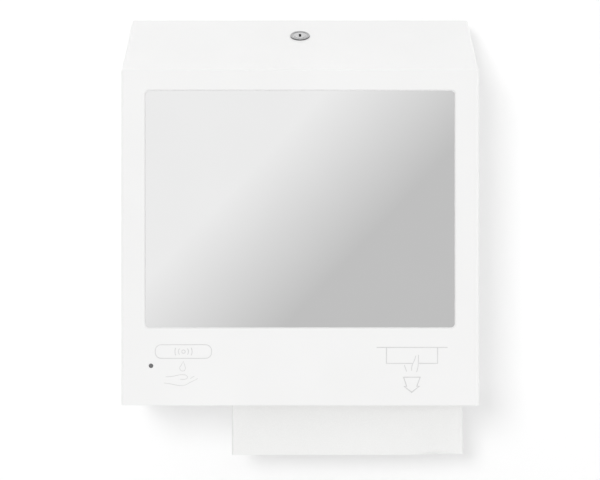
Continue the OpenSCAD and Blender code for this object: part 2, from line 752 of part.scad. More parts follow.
// Board with its chip, two capacitors, plugs and the body of the slide switch
module control_board() color("darkgreen") {
    x0 = control_l + control_wall + 0.5;
    x1 = control_l + control_w - control_wall - 0.5;
    z0 = control_z + control_wall + 0.5;
    z1 = control_z + control_h - control_wall - 0.5;
    slab(x0, x1, board_y, board_y + board_t, z0, z1);
    slab(x0 + 4, x0 + 14, board_y - 1.8, board_y, z0 + 4, z0 + 14);
    slab(x1 - 16, x1 - 6, board_y - 5, board_y, z1 - 10, z1 - 3);
    for (i = [0, 1]) rod_y(x0 + 28 + 9 * i, board_y - 7, board_y, z1 - 18, 3);
    difference() {
        slab(switch_x - 5, switch_x + 9, board_y - 4, board_y, switch_z - 3.5, switch_z + 3.5);
        slab(switch_x - switch_half - pass_gap, switch_x + switch_half + switch_travel + pass_gap,
            board_y - 5, board_y - 1, switch_z - 2 - pass_gap, switch_z + 2 + pass_gap);
    }
}

module status_led() color("red") {
    rod_y(led_x, board_y - 1, board_y, lens_z, led_r + 0.4);
    rod_y(led_x, control_front - 0.5, board_y - 1, lens_z, led_r);
    intersection() {
        translate([led_x, control_front - 0.5, lens_z]) sphere(led_r);
        slab(-far, far, -far, control_front - 0.5, -far, far);
    }
}

nozzle_r = 6;
module nozzle() color("whitesmoke") difference() {
    rim_t = 2.5;
    tip = 4;
    union() {
        rod_z(outlet_x, hose_y, floor_z, floor_z + rim_t, nozzle_r + 4);
        rod_z(outlet_x, hose_y, tray_z - 1, floor_z + 1, nozzle_r);
        translate([outlet_x, hose_y, -tip]) cylinder(r1 = nozzle_r - 2.5, r2 = nozzle_r, h = tray_z - 1 + tip);
        rod_z(outlet_x, hose_y, floor_z + 1, hose_low, nozzle_r - 1);
        rod_z(outlet_x, hose_y, hose_low - 1, hose_low + hose_tail - 1, hose_bore / 2);
    }
    rod_z(outlet_x, hose_y, -tip - 1, hose_low + hose_tail, hose_bore / 2 - 0.8);
}

module sensor_window() color("black") {
    rim = 2;
    slab(sensor_x - sensor_w / 2 + 0.2, sensor_x + sensor_w / 2 - 0.2, sensor_y - sensor_d / 2 + 0.2,
        sensor_y + sensor_d / 2 - 0.2, tray_z, floor_z);
    slab(sensor_x - sensor_w / 2 - rim, sensor_x + sensor_w / 2 + rim, sensor_y - sensor_d / 2 - rim,
        sensor_y + sensor_d / 2 + rim, floor_z, floor_z + 1.2);
}
eye_r = 2.5;
eye_x = 8;
module sensor_holder() color("dimgray") difference() {
    z0 = floor_z + 1.2;
    slab(sensor_x - sensor_w / 2 - 2, sensor_x + sensor_w / 2 + 2, sensor_y - sensor_d / 2 - 2,
        sensor_y + sensor_d / 2 + 2, z0, z0 + 7);
    for (s = [-1, 1]) rod_z(sensor_x + s * eye_x, sensor_y, z0 - 1, z0 + 8, eye_r + screw_gap);
}
module sensor_eyes() color("darkslategray") for (s = [-1, 1]) {
    z0 = floor_z + 1.2 + 0.3 + eye_r;
    translate([sensor_x + s * eye_x, sensor_y, 0]) {
        intersection() {
            translate([0, 0, z0]) sphere(eye_r);
            slab(-far, far, -far, far, -far, z0);
        }
        rod_z(0, 0, z0, floor_z + 8.2, eye_r);
        rod_z(0, 0, floor_z + 8.2, floor_z + 9.4, eye_r + 0.6);
    }
}

lug_x = 14;
door_lug_w = 6;
module battery_box() color("dimgray") difference() {
    x0 = battery_l;
    x1 = battery_r;
    in_l = x0 + box_wall;
    in_r = x1 - box_wall;
    union() {
        difference() {
            slab(x0, x1, battery_front, plate_y, battery_z, battery_top);
            slab(in_l, in_r, battery_front - 1, flange_y, battery_z + box_wall, battery_top - box_wall);
        }
        for (x = [x0 + lug_x, x1 - lug_x - door_lug_w]) {
            rod_x(x, x + door_lug_w, door_y, door_z, door_knuckle_r);
            section_yz(x, x + door_lug_w)
                polygon([[door_y + 1, door_z - 2.7], [door_y, door_z + 2.2], [battery_front + 0.1, battery_z + 0.5],
                    [battery_front + 6, battery_z + 0.5], [battery_front + 4, door_z - 2]]);
        }
    }
    screw_holes(box_screws, flange_y - 1, plate_y + 1);
    rod_x(x0 - 1, x1 + 1, door_y, door_z, door_pin_r);
    rod_z(cable_top_x, cable_y, battery_z - 1, battery_z + box_wall + 1, cable_r + screw_gap);
}
cable_top_x = battery_l + 8;

function cell_places() = [for (row = [0, 1], col = [0, 1])
    [battery_l + box_wall + 3 + col * (cell_l + 1), battery_z + box_wall + cell_gap + cell_d / 2
        + row * (cell_d + cell_gap), (row + col) % 2]];
module battery_cells() color("darkorange") for (p = cell_places()) {
    nub_r = 3.2;
    nub = 1.8;
    body = cell_l - nub;
    start = p[2] == 0 ? p[0] : p[0] + nub;
    rod_x(start, start + body, cell_y, p[1], cell_d / 2);
    rod_x(p[0], p[0] + cell_l, cell_y, p[1], nub_r);
}
module battery_contacts() color("silver") {
    plate_t = 0.5;
    half = 8;
    ends = [battery_l + box_wall, battery_r - box_wall - plate_t];
    for (x = ends, row = [0, 1]) {
        z = battery_z + box_wall + cell_gap + cell_d / 2 + row * (cell_d + cell_gap);
        slab(x, x + plate_t, cell_y - half, cell_y + half, z - half, z + half);
        bump = x < battery_l + battery_w / 2 ? [x + plate_t, x + plate_t + 2.3] : [x - 2.3, x];
        rod_x(bump[0], bump[1], cell_y, z, 4.5);
    }
}
module door_pins() color("silver") for (x = [battery_l + lug_x, battery_r - lug_x - door_lug_w]) {
    inner = x < battery_l + battery_w / 2 ? 0 : -8;
    rod_x(x + inner, x + inner + door_lug_w + 8, door_y, door_z, door_pin_r);
}

// A round cable led through a list of straight runs and square bends
module bend_xz(x, z, turn_from) translate([x, cable_y, z]) rotate([90, 0, 0]) rotate([0, 0, turn_from])
    rotate_extrude(angle = 90) translate([cable_bend, 0]) circle(cable_r);
module battery_cable() color("black") {
    r = cable_r;
    b = cable_bend;
    end_x = control_l + control_w - control_wall;
    forward_z = cable_low_z + 3;
    rod_z(cable_top_x, cable_y, cable_cross_z + b, battery_z + box_wall, r);
    bend_xz(cable_top_x - b, cable_cross_z + b, -90);
    rod_x(cable_x + b, cable_top_x - b, cable_y, cable_cross_z, r);
    bend_xz(cable_x + b, cable_cross_z - b, 90);
    rod_z(cable_x, cable_y, forward_z + b, cable_cross_z - b, r);
    translate([cable_x, cable_y - b, forward_z + b]) rotate([90, 0, 90]) rotate([0, 0, -90])
        rotate_extrude(angle = 90) translate([b, 0]) circle(r);
    rod_y(cable_x, cable_end_y + b, cable_y - b, forward_z, r);
    translate([cable_x - b, cable_end_y + b, forward_z]) rotate([0, 0, -90])
        rotate_extrude(angle = 90) translate([b, 0]) circle(r);
    rod_x(end_x, cable_x - b, cable_end_y, forward_z, r);
}
module motor_cable() color("firebrick") {
    r = lead_r;
    b = 4;
    start_y = motor_rear + 1.5;
    down_y = start_y + 2 + b;
    end_x = control_l + control_w - control_wall;
    forward_z = lead_low_z + 2;
    rod_y(lead_x, start_y, start_y + 2, pump_z, r);
    translate([lead_x, start_y + 2, pump_z - b]) rotate([90, 0, 90])
        rotate_extrude(angle = 90) translate([b, 0]) circle(r);
    rod_z(lead_x, down_y, forward_z + b, pump_z - b, r);
    translate([lead_x, down_y - b, forward_z + b]) rotate([90, 0, 90]) rotate([0, 0, -90])
        rotate_extrude(angle = 90) translate([b, 0]) circle(r);
    rod_y(lead_x, lead_end_y + b, down_y - b, forward_z, r);
    translate([lead_x - b, lead_end_y + b, forward_z]) rotate([0, 0, -90])
        rotate_extrude(angle = 90) translate([b, 0]) circle(r);
    rod_x(end_x, lead_x - b, lead_end_y, forward_z, r);
}

// The case's outside, or its inside when inset by the sheet
module case_block(inset, rear, low) {
    r = edge_r - inset;
    half = case_w / 2 - inset;
    front = front_y + inset;
    fold = front_h + inset * (tan(slope_a) - 1 / cos(slope_a));
    top = case_h - inset;
    crest = front_y + (top - front_h + inset / cos(slope_a)) / tan(slope_a);
    steps = 4;
    intersection() {
        section_yz(-half - 5, half + 5)
            soft_polygon([[front, low], [front, fold], [crest, top], [rear, top], [rear, low]],
                [0, r, r, 0, 0], steps);
        translate([0, 0, -far]) linear_extrude(3 * far)
            soft_polygon([[-half, far], [-half, front], [half, front], [half, far]], [0, r, r, 0], steps);
    }
}

module front_cover() color("white") difference() {
    case_block(0, -wall_gap, 0);
    case_block(sheet_t, far / 10, -far / 10);
    face_xz(front_y - 1, front_in + 1)
        soft_box(-mirror_w / 2, mirror_w / 2, mirror_z - mirror_h / 2, mirror_z + mirror_h / 2, mirror_r);
    rod_x(-far, far, hinge_y, hinge_z, hinge_pin_d / 2 + turn_gap);
    rod_y(led_x, front_y - 1, front_in + 1, lens_z, lens_d / 2 + screw_gap);
    at_lock() rod_z(0, 0, -3 * sheet_t, sheet_t, barrel_r + screw_gap);
}

glass_front = front_in + tape_t;
glass_rear = glass_front + glass_t;
glass_half_w = mirror_w / 2 + mirror_lap;
glass_half_h = mirror_h / 2 + mirror_lap;
module mirror_glass() color("lightsteelblue") face_xz(glass_front, glass_rear)
    slab_2d(-glass_half_w, glass_half_w, mirror_z - glass_half_h, mirror_z + glass_half_h);
module slab_2d(x0, x1, y0, y1) polygon(box_points(x0, x1, y0, y1));

module mirror_tape() color("black") face_xz(front_in, glass_front) difference() {
    set_in = 0.5;
    slab_2d(-glass_half_w + set_in, glass_half_w - set_in, mirror_z - glass_half_h + set_in,
        mirror_z + glass_half_h - set_in);
    soft_box(-mirror_w / 2 - set_in, mirror_w / 2 + set_in, mirror_z - mirror_h / 2 - set_in,
        mirror_z + mirror_h / 2 + set_in, mirror_r + set_in);
}

// Bent clips over the rim of the glass; u runs outward from the rim
module mirror_clips() color("silver") {
    w = 16;
    t = 1;
    grip = glass_rear + 0.2;
    shape = [[1, front_in], [clip_reach, front_in], [clip_reach, front_in + t], [1 + t, front_in + t], [1 + t, grip + t],
        [-6, grip + t], [-6, grip], [1, grip]];
    for (x = [-mirror_w / 4, mirror_w / 4], side = [-1, 1])
        section_yz(x - w / 2, x + w / 2)
            polygon([for (p = shape) [p[1], mirror_z + side * (glass_half_h + p[0])]]);
    for (side = [-1, 1])
        translate([0, 0, mirror_z - w / 2]) linear_extrude(w)
            polygon([for (p = shape) [side * (glass_half_w + p[0]), p[1]]]);
}

module status_lens() color("dimgray") {
    proud = 0.4;
    rod_y(led_x, front_y - proud, front_in, lens_z, lens_d / 2);
    rod_y(led_x, front_in, front_in + 1.2, lens_z, lens_d / 2 + 1.4);
}

module lock_barrel() color("silver") at_lock() difference() {
    union() {
        rod_z(0, 0, 0, lock_face_t - lock_rim_cut, lock_d / 2);
        translate([0, 0, lock_face_t - lock_rim_cut])
            cylinder(h = lock_rim_cut, r1 = lock_d / 2, r2 = lock_d / 2 - lock_rim_cut);
        rod_z(0, 0, -lock_len, 0, barrel_r);
    }
    rod_z(0, 0, lock_face_t - lock_recess, lock_face_t + 1, lock_d / 2 - lock_rim_w);
    rod_z(0, 0, -lock_len - 1, lock_face_t + 1, core_r + turn_gap);
}

module lock_nut() color("silver") at_lock() difference() {
    nut_t = 4;
    translate([0, 0, -sheet_t - nut_t]) linear_extrude(nut_t)
        polygon([for (i = [0 : 5]) (barrel_r + 4.5) * [cos(60 * i), sin(60 * i)]]);
    rod_z(0, 0, -sheet_t - nut_t - 1, 0, barrel_r + screw_gap);
}

cam_top = -lock_len - pass_gap;
cam_low = cam_top - cam_t;
tang = 3.5;
module lock_core() color("silver") at_lock() difference() {
    key_w = 2.4;
    key_l = 6.4;
    key_deep = 8;
    key_top = lock_face_t - lock_recess + 0.2;
    union() {
        rod_z(0, 0, cam_top, key_top, core_r);
        slab(-tang, tang, -tang, tang, cam_low, cam_top + 1);
    }
    slab(-key_w / 2, key_w / 2, -key_l / 2, key_l / 2, key_top - key_deep, key_top + 1);
    rod_z(0, 0, cam_low - 1, cam_low + 8, small_r);
}

// Hooked cam, drawn unlocked; a quarter turn brings the hook round the striker post
module lock_cam() color("silver") at_lock() translate([0, 0, cam_low]) linear_extrude(cam_t) rotate(90)
    difference() {
        arm_a = 115;
        arm_w = 10;
        union() {
            circle(core_r + 2);
            rotate(arm_a) translate([0, -arm_w / 2]) square([hook_in + 2, arm_w]);
            intersection() {
                difference() {
                    circle(hook_out);
                    circle(hook_in);
                }
                polygon([[0, 0], 2 * hook_out * [cos(76), sin(76)], 2 * hook_out * [cos(100), sin(100)],
                    2 * hook_out * [cos(arm_a + 9), sin(arm_a + 9)]]);
            }
        }
        square(2 * tang, center = true);
    }

module cam_screw() color("silver") at_lock() {
    rod_z(0, 0, cam_low - 2, cam_low, 5);
    rod_z(0, 0, cam_low - 1, cam_low + 7, small_r);
}

module rim_shape(inset) soft_box(tank_l + inset, tank_rt - inset, tank_front + inset, tank_rear - inset,
    tank_r - inset);
// Lid with a plug rim inside the tank and a knuckle between the tank's lugs
module tank_lid() color("whitesmoke") difference() {
    seat = tank_top + 0.2 + seal_t;
    rim = tank_wall + 0.7;
    rim_t = 1.5;
    rim_h = 5;
    union() {
        translate([0, 0, seat]) linear_extrude(lid_t) rim_shape(0);
        translate([0, 0, seat - rim_h]) linear_extrude(rim_h + 1) difference() {
            rim_shape(rim);
            rim_shape(rim + rim_t);
        }
        rod_x(tank_mid - knuckle_half, tank_mid + knuckle_half, lid_y, lid_z, knuckle_r);
        slab(tank_mid - knuckle_half, tank_mid + knuckle_half, tank_rear - 3, lid_y, seat, seat + lid_t - 0.4);
        slab(tank_mid - 14, tank_mid + 14, tank_front - 4, tank_front + 3, seat, seat + lid_t);
    }
    rod_x(tank_l, tank_rt, lid_y, lid_z, lid_pin_r + turn_gap);
}
module lid_seal() color("black") translate([0, 0, tank_top + 0.2]) linear_extrude(seal_t) difference() {
    soft_box(tank_l + 0.1, tank_rt - 0.1, tank_front + 0.1, tank_rear - 0.1, tank_r);
    soft_box(tank_l + tank_wall + 0.7, tank_rt - tank_wall - 0.7, tank_front + tank_wall + 0.7,
        tank_rear - tank_wall - 0.7, tank_r - tank_wall - 0.7);
}

roller_places = [for (i = [0 : 2]) orbit_r * [cos(90 + 120 * i), sin(90 + 120 * i)]];
// Two discs on a hub, with the three roller pins moulded across
module pump_rotor() color("firebrick") difference() {
    union() {
        rod_y(pump_x, rotor_rear - rotor_disc_t, rotor_rear, pump_z, rotor_r);
        rod_y(pump_x, rotor_front, rotor_front + rotor_disc_t, pump_z, rotor_r);
        rod_y(pump_x, rotor_front, rotor_rear, pump_z, 2 * shaft_r);
        for (p = roller_places) rod_y(pump_x + p[0], rotor_front, rotor_rear, pump_z + p[1], roller_pin_r);
    }
    rod_y(pump_x, rotor_front - 1, rotor_rear + 1, pump_z, shaft_r);
}
module roller(i) color("ivory") {
    p = roller_places[i];
    difference() {
        rod_y(pump_x + p[0], rotor_front + rotor_disc_t + pass_gap, rotor_rear - rotor_disc_t - pass_gap,
            pump_z + p[1], roller_r);
        rod_y(pump_x + p[0], rotor_front, rotor_rear, pump_z + p[1], roller_pin_r + turn_gap);
    }
}
module roller_1() roller(0);
module roller_2() roller(1);
module roller_3() roller(2);
module rotor_shaft() color("silver") rod_y(pump_x, rotor_front, motor_front + 0.5, pump_z, shaft_r);

function inv(r, base) = let (a = acos(min(1, base / r))) tan(a) - a * PI / 180;
// Half of a tooth's angle at radius r, in degrees
function tooth_half(r, pitch, base, play) =
    ((PI * tooth_m / 2 - play) / (2 * pitch) + inv(pitch, base) - inv(max(r, base), base)) * 180 / PI;
function gear_points(teeth, play) =
    let (pitch = tooth_m * teeth / 2, base = pitch * cos(pressure_a), root = pitch - 1.25 * tooth_m,
         tip = pitch + 0.9 * tooth_m, low = max(base, root),
         radii = [for (i = [0 : 4]) low + (tip - low) * i / 4])
    [for (k = [0 : teeth - 1])
        let (mid = 360 * k / teeth)
        for (q = concat(
            [root * [cos(mid - tooth_half(low, pitch, base, play)), sin(mid - tooth_half(low, pitch, base, play))]],
            [for (r = radii) let (h = tooth_half(r, pitch, base, play)) if (r > root + 0.01) r * [cos(mid - h), sin(mid - h)]],
            [for (i = [4 : -1 : 0]) let (r = radii[i], h = tooth_half(r, pitch, base, play))
                if (r > root + 0.01) r * [cos(mid + h), sin(mid + h)]],
            [root * [cos(mid + tooth_half(low, pitch, base, play)), sin(mid + tooth_half(low, pitch, base, play))]])) q];

gear_front = drive_rear + gear_side;
module gear_at(x, teeth, turned, bore) translate([x, gear_front + gear_w, pump_z]) rotate([90, 0, 0])
    linear_extrude(gear_w) difference() {
        rotate(turned) polygon(gear_points(teeth, tooth_play / 2));
        circle(bore);
        children();
    }
module rotor_gear() color("ivory") gear_at(pump_x, gear_teeth, 0, shaft_r)
    for (i = [0 : 4]) rotate(72 * i) translate([0.6 * tooth_m * gear_teeth / 2, 0]) circle(4);
module motor_pinion() color("goldenrod") {
    gear_at(motor_x, pinion_teeth, 180 / pinion_teeth, 0.5);
    rod_y(motor_x, gear_front - 0.5, motor_front + 2, pump_z, 1);
}

// Sheet with a slight bow, from the chute to below the case
sheet_top = ledge_z - pass_gap;
sheet_steps = 14;
sheet_bow = 1.2;
function sheet_way(i) =
    [slot_y + sheet_bow * sin(300 * i / sheet_steps), sheet_top - i / sheet_steps * (sheet_top + towel_hang)];
module hanging_towel() color("white") section_yz(towel_l, towel_r)
    polygon(concat(
        [for (i = [0 : sheet_steps]) sheet_way(i) - [paper_t / 2, 0]],
        [for (i = [sheet_steps : -1 : 0]) sheet_way(i) + [paper_t / 2, 0]]));

module power_switch() color("red") {
    slab(switch_x - switch_half, switch_x + switch_half, control_front - 1.5, board_y - 1.4, switch_z - 2, switch_z + 2);
}

module battery_door() color("gray") difference() {
    y0 = battery_front - pass_gap - door_t;
    knuckle_w = 6;
    gap = 0.5;
    union() {
        slab(battery_l + 0.5, battery_r - 0.5, y0, y0 + door_t, door_z + door_knuckle_r + 0.6, battery_top - 0.3);
        for (x = [battery_l + lug_x + door_lug_w + gap, battery_r - lug_x - door_lug_w - gap - knuckle_w]) {
            rod_x(x, x + knuckle_w, door_y, door_z, door_knuckle_r);
            slab(x, x + knuckle_w, y0, y0 + door_t, door_z, door_z + door_knuckle_r + 2);
        }
        slab((battery_l + battery_r) / 2 - 12, (battery_l + battery_r) / 2 + 12, y0 - 1.5, y0 + 0.5,
            battery_top - 7, battery_top - 4.5);
    }
    rod_x(battery_l, battery_r, door_y, door_z, door_pin_r + turn_gap);
}

place() back_plate();
place() bottom_tray();
place() sheet_screws();
place() hinge_pins();
place() hinge_washers();
place() lock_striker();
place() divider_panel();
place() right_guide();
place() towel_chute();
place() towel_stack();
place() tank_shelf();
place() soap_tank();
place() lid_pin();
place() outlet_cap();
place() neck_washer();
place() pump_hose();
place() pump_chassis();
place() chassis_screws();
place() pump_housing();
place() pump_window();
place() small_screws();
place() gear_plate();
place() shaft_bushes();
place() motor();
place() control_box();
place() control_lid();
place() control_board();
place() status_led();
place() nozzle();
place() sensor_window();
place() sensor_holder();
place() sensor_eyes();
place() battery_box();
place() battery_cells();
place() battery_contacts();
place() door_pins();
place() battery_cable();
place() motor_cable();
place() front_cover();
place() mirror_glass();
place() mirror_tape();
place() mirror_clips();
place() status_lens();
place() lock_barrel();
place() lock_nut();
place() lock_core();
place() lock_cam();
place() cam_screw();
place() tank_lid();
place() lid_seal();
place() pump_rotor();
place() rotor_shaft();
place() rotor_gear();
place() roller_1();
place() roller_2();
place() roller_3();
place() motor_pinion();
place() hanging_towel();
place() power_switch();
place() battery_door();
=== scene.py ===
# Wall dispenser with a mirror front: folded towels on the right, touch-free soap on the left.
import bpy
import bmesh
import json
import math
import random
from mathutils import Matrix, Vector


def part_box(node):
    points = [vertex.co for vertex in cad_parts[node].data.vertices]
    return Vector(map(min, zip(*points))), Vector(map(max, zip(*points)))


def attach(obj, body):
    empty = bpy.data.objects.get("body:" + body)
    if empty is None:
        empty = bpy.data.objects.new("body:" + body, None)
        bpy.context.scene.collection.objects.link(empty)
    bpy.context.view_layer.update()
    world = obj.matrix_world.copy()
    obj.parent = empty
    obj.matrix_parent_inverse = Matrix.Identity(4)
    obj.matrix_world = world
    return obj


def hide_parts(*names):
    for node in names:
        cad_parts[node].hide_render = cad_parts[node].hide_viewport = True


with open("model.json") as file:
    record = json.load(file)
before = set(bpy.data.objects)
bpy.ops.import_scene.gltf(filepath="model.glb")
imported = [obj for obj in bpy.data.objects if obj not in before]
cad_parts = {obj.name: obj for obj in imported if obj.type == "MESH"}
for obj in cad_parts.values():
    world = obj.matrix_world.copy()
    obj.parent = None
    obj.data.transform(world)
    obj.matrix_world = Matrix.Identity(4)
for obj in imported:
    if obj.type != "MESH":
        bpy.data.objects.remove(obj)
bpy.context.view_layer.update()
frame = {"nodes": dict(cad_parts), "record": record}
nodes = frame["nodes"]
bodies = frame["record"]["behaviour"]["bodies"]
bodyOf = {node: body for body, members in bodies.items() for node in members}
slotOf = {row["node"]: row["material_slot"] for row in frame["record"]["subparts"]}
coverLow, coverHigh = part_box("front_cover")
lowerEdge = coverLow.z  # heights are measured from the cover's lower edge
frontFace = coverLow.y
scene = bpy.context.scene
print("frame loaded,", len(nodes), "solids")


# Making and placing

weld = 0.000002  # points nearer than this become one
flatAngle = 0.6  # degrees up to which neighbouring faces are one flat face
squareOn = 0.9  # share of a direction from which it counts as along an axis


def keep(bm, name):
    mesh = bpy.data.meshes.new(name)
    bm.to_mesh(mesh)
    bm.free()
    piece = bpy.data.objects.new(name, mesh)
    scene.collection.objects.link(piece)
    return piece


def finalMesh(thing):
    graph = bpy.context.evaluated_depsgraph_get()
    return bpy.data.meshes.new_from_object(thing.evaluated_get(graph), depsgraph=graph)


def bake(piece):
    mesh = finalMesh(piece)
    old = piece.data
    piece.modifiers.clear()
    piece.data = mesh
    bpy.data.meshes.remove(old)


def cutAway(piece, cutter):
    cut = piece.modifiers.new("cut", "BOOLEAN")
    cut.operation = "DIFFERENCE"
    cut.solver = "EXACT"
    cut.object = cutter
    bake(piece)
    bpy.data.objects.remove(cutter)


def smoothFaces(piece):
    for face in piece.data.polygons:
        face.use_smooth = True


def polish(piece, angle=40):
    smoothFaces(piece)
    piece.data.set_sharp_from_angle(angle=math.radians(angle))
    weigh = piece.modifiers.new("weigh", "WEIGHTED_NORMAL")
    weigh.keep_sharp = True


def dress(piece, nodeNames, finish, body=None, slot=None):
    piece.data.materials.clear()
    piece.data.materials.append(finish)
    if nodeNames:
        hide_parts(*nodeNames)
    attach(piece, body or bodyOf[nodeNames[0]])
    slot or slotOf[nodeNames[0]]


def mergedCopy(nodeName):
    bm = bmesh.new()
    bm.from_mesh(nodes[nodeName].data)
    bmesh.ops.remove_doubles(bm, verts=bm.verts, dist=weld)
    bmesh.ops.dissolve_degenerate(bm, edges=bm.edges, dist=weld)
    bmesh.ops.dissolve_limit(bm, angle_limit=math.radians(flatAngle), verts=bm.verts, edges=bm.edges)
    return bm


def bevelEdges(bm, edges, width, segments, clamp=False):
    bmesh.ops.bevel(bm, geom=edges, offset=width, offset_type="OFFSET", segments=segments, profile=0.5,
                    affect="EDGES", clamp_overlap=clamp, material=-1)


def sharpEdges(bm, angle):
    return [e for e in bm.edges if e.is_manifold and e.calc_face_angle(0) > math.radians(angle)]


def softenEdges(bm, width, segments=2, angle=35):
    bevelEdges(bm, sharpEdges(bm, angle), width, segments, clamp=True)


def runsAlong(edge, axis):
    return abs((edge.verts[0].co - edge.verts[1].co).normalized()[axis]) > squareOn


def addBlock(bm, size, middle, turn=Matrix.Identity(4)):
    place = Matrix.Translation(middle) @ turn @ Matrix.Diagonal((*size, 1))
    return bmesh.ops.create_cube(bm, size=1, matrix=place)["verts"]


def addRod(bm, radius, start, end, sides=48):
    start, end = Vector(start), Vector(end)
    turn = (end - start).to_track_quat("Z", "Y").to_matrix().to_4x4()
    bmesh.ops.create_cone(bm, cap_ends=True, segments=sides, radius1=radius, radius2=radius,
                          depth=(end - start).length, matrix=Matrix.Translation((start + end) / 2) @ turn)


def lathe(outline, middle, axis, steps, closed=False):
    bm = bmesh.new()
    line = [bm.verts.new(point) for point in outline]
    ends = line[1:] + line[:1] if closed else line[1:]
    edges = [bm.edges.new(pair) for pair in zip(line, ends)]
    bmesh.ops.spin(bm, geom=line + edges, cent=middle, axis=axis, angle=math.tau, steps=steps, use_merge=True)
    bmesh.ops.remove_doubles(bm, verts=bm.verts, dist=weld)
    bmesh.ops.recalc_face_normals(bm, faces=bm.faces)
    return bm


def islands(bm):
    seen = set()
    for start in bm.verts:  # in the mesh's own order, so that every run draws the same turns
        if start in seen:
            continue
        seen.add(start)
        group = [start]
        for vert in group:  # the group grows while it is walked
            for link in vert.link_edges:
                other = link.other_vert(vert)
                if other not in seen:
                    seen.add(other)
                    group.append(other)
        yield group


def reachOf(verts):
    low = Vector([min(v.co[i] for v in verts) for i in range(3)])
    high = Vector([max(v.co[i] for v in verts) for i in range(3)])
    return low, high


# Node helpers

noiseSpan = (0.35, 0.65)  # where most of a noise lies


def feed(tree, value, socket):
    if isinstance(value, (int, float)):
        socket.default_value = value
    else:
        tree.links.new(value, socket)


def combine(tree, operation, *values):
    node = tree.nodes.new("ShaderNodeMath")
    node.operation = operation
    for socket, value in zip(node.inputs, values):
        feed(tree, value, socket)
    return node.outputs[0]


def mixed(tree, share, first, second):
    node = tree.nodes.new("ShaderNodeMixShader")
    for socket, value in zip(node.inputs, (share, first, second)):
        tree.links.new(value, socket)
    return node.outputs[0]


def spread(tree, value, to, start=noiseSpan, blend="LINEAR"):
    ranged = tree.nodes.new("ShaderNodeMapRange")
    ranged.interpolation_type = blend
    tree.links.new(value, ranged.inputs["Value"])
    for socket, number in zip(("From Min", "From Max", "To Min", "To Max"), (*start, *to)):
        ranged.inputs[socket].default_value = number
    return ranged.outputs["Result"]


# Camera, wall and light

cameraSetup = {
    "distance": 1.450, "height": 0.171, "side": 0.0,  # from the front face, the lower edge and the middle
    "frameWidth": 600, "focalPixels": 1403, "sensor": 36.0,
}

cameraData = bpy.data.cameras.new("camera")
cameraData.sensor_fit = "HORIZONTAL"
cameraData.sensor_width = cameraSetup["sensor"]
cameraData.lens = cameraSetup["sensor"] * cameraSetup["focalPixels"] / cameraSetup["frameWidth"]
cameraData.dof.use_dof = False
camera = bpy.data.objects.new("camera", cameraData)
camera.location = (cameraSetup["side"], frontFace - cameraSetup["distance"],
                   lowerEdge + cameraSetup["height"])
camera.rotation_euler = (math.radians(90), 0, 0)
scene.collection.objects.link(camera)
scene.camera = camera
scene.view_settings.view_transform = "Standard"

lampAim = Vector((0, 0, -0.03))
lampSetup = {
    "wallKey": {"at": (-0.96, -3.2, 0.66), "size": 1.0, "power": 30.0},
    "partKey": {"at": (-0.74, -3.2, 0.42), "size": 0.45, "power": 19.6},
    "fill": {"at": (0.0, -3.0, -0.25), "size": 1.5, "power": 3.0},
    "edge": {"at": (1.9, -0.55, 0.0), "size": 0.7, "power": 4.2},
    "low": {"at": (0.2, -0.75, -1.9), "size": 0.7, "power": 4.0},
    "rear": {"at": (0.9, 2.6, 0.7), "size": 1.8, "power": 22.0},
}
for lampName, lamp in lampSetup.items():
    lampData = bpy.data.lights.new(lampName, "AREA")
    lampData.shape = "SQUARE"
    lampData.size = lamp["size"]
    lampData.energy = lamp["power"]
    lampObject = bpy.data.objects.new(lampName, lampData)
    lampObject.location = lamp["at"]
    lampObject.rotation_euler = (lampAim - Vector(lamp["at"])).to_track_quat("-Z", "Y").to_euler()
    lampObject.visible_camera = False
    lampObject.visible_glossy = False
    scene.collection.objects.link(lampObject)

roomSetup = {
    "ambient": 0.50, "sky": 0.66, "floor": 0.36, "floorRise": (-0.2, 0.1),
    "bright": 0.895, "dim": 0.56, "across": 7.75, "up": -7.36, "start": 0.633,
    "sides": 0.5, "sideTurn": (0.95, 0.55), "overhead": 0.5, "overheadRise": (0.45, 0.75),
}


def makeRoom():
    world = bpy.data.worlds.new("room")
    scene.world = world
    world.use_nodes = True
    tree = world.node_tree
    tree.nodes.clear()
    link = tree.links.new
    add = tree.nodes.new
    direction = add("ShaderNodeTexCoord").outputs["Generated"]
    upwards = (0, 0, 1)

    def backdrop(strength):
        light = add("ShaderNodeBackground")
        light.inputs["Color"].default_value = (1, 1, 1, 1)
        feed(tree, strength, light.inputs["Strength"])
        return light.outputs[0]

    def leaning(axis, start, to):
        lean = add("ShaderNodeVectorMath")
        lean.operation = "DOT_PRODUCT"
        link(direction, lean.inputs[0])
        lean.inputs[1].default_value = axis
        return spread(tree, lean.outputs["Value"], to, start)

    sky = leaning(upwards, (0, 1), (roomSetup["ambient"], roomSetup["ambient"] + roomSetup["sky"]))
    floorBounce = leaning(upwards, roomSetup["floorRise"], (roomSetup["floor"], 0))
    soft = backdrop(combine(tree, "ADD", sky, floorBounce))
    # what mirror and metal show: a room bright at the upper left and dimmer at the lower right,
    # dark to the sides, with a soft box overhead
    start = roomSetup["start"]
    ahead = leaning((roomSetup["across"], 0, roomSetup["up"]), (-start, 1 - start),
                    (roomSetup["bright"], roomSetup["dim"]))
    sides = leaning((0, -1, 0), roomSetup["sideTurn"], (1, roomSetup["sides"]))
    softBox = leaning(upwards, roomSetup["overheadRise"], (0, roomSetup["overhead"]))
    glimpsed = backdrop(combine(tree, "ADD", combine(tree, "MULTIPLY", ahead, sides), softBox))
    path = add("ShaderNodeLightPath").outputs
    straight = combine(tree, "MAXIMUM", path["Is Camera Ray"], path["Is Transmission Ray"])
    lit = mixed(tree, path["Is Glossy Ray"], soft, glimpsed)
    link(mixed(tree, straight, lit, backdrop(1.0)), add("ShaderNodeOutputWorld").inputs["Surface"])


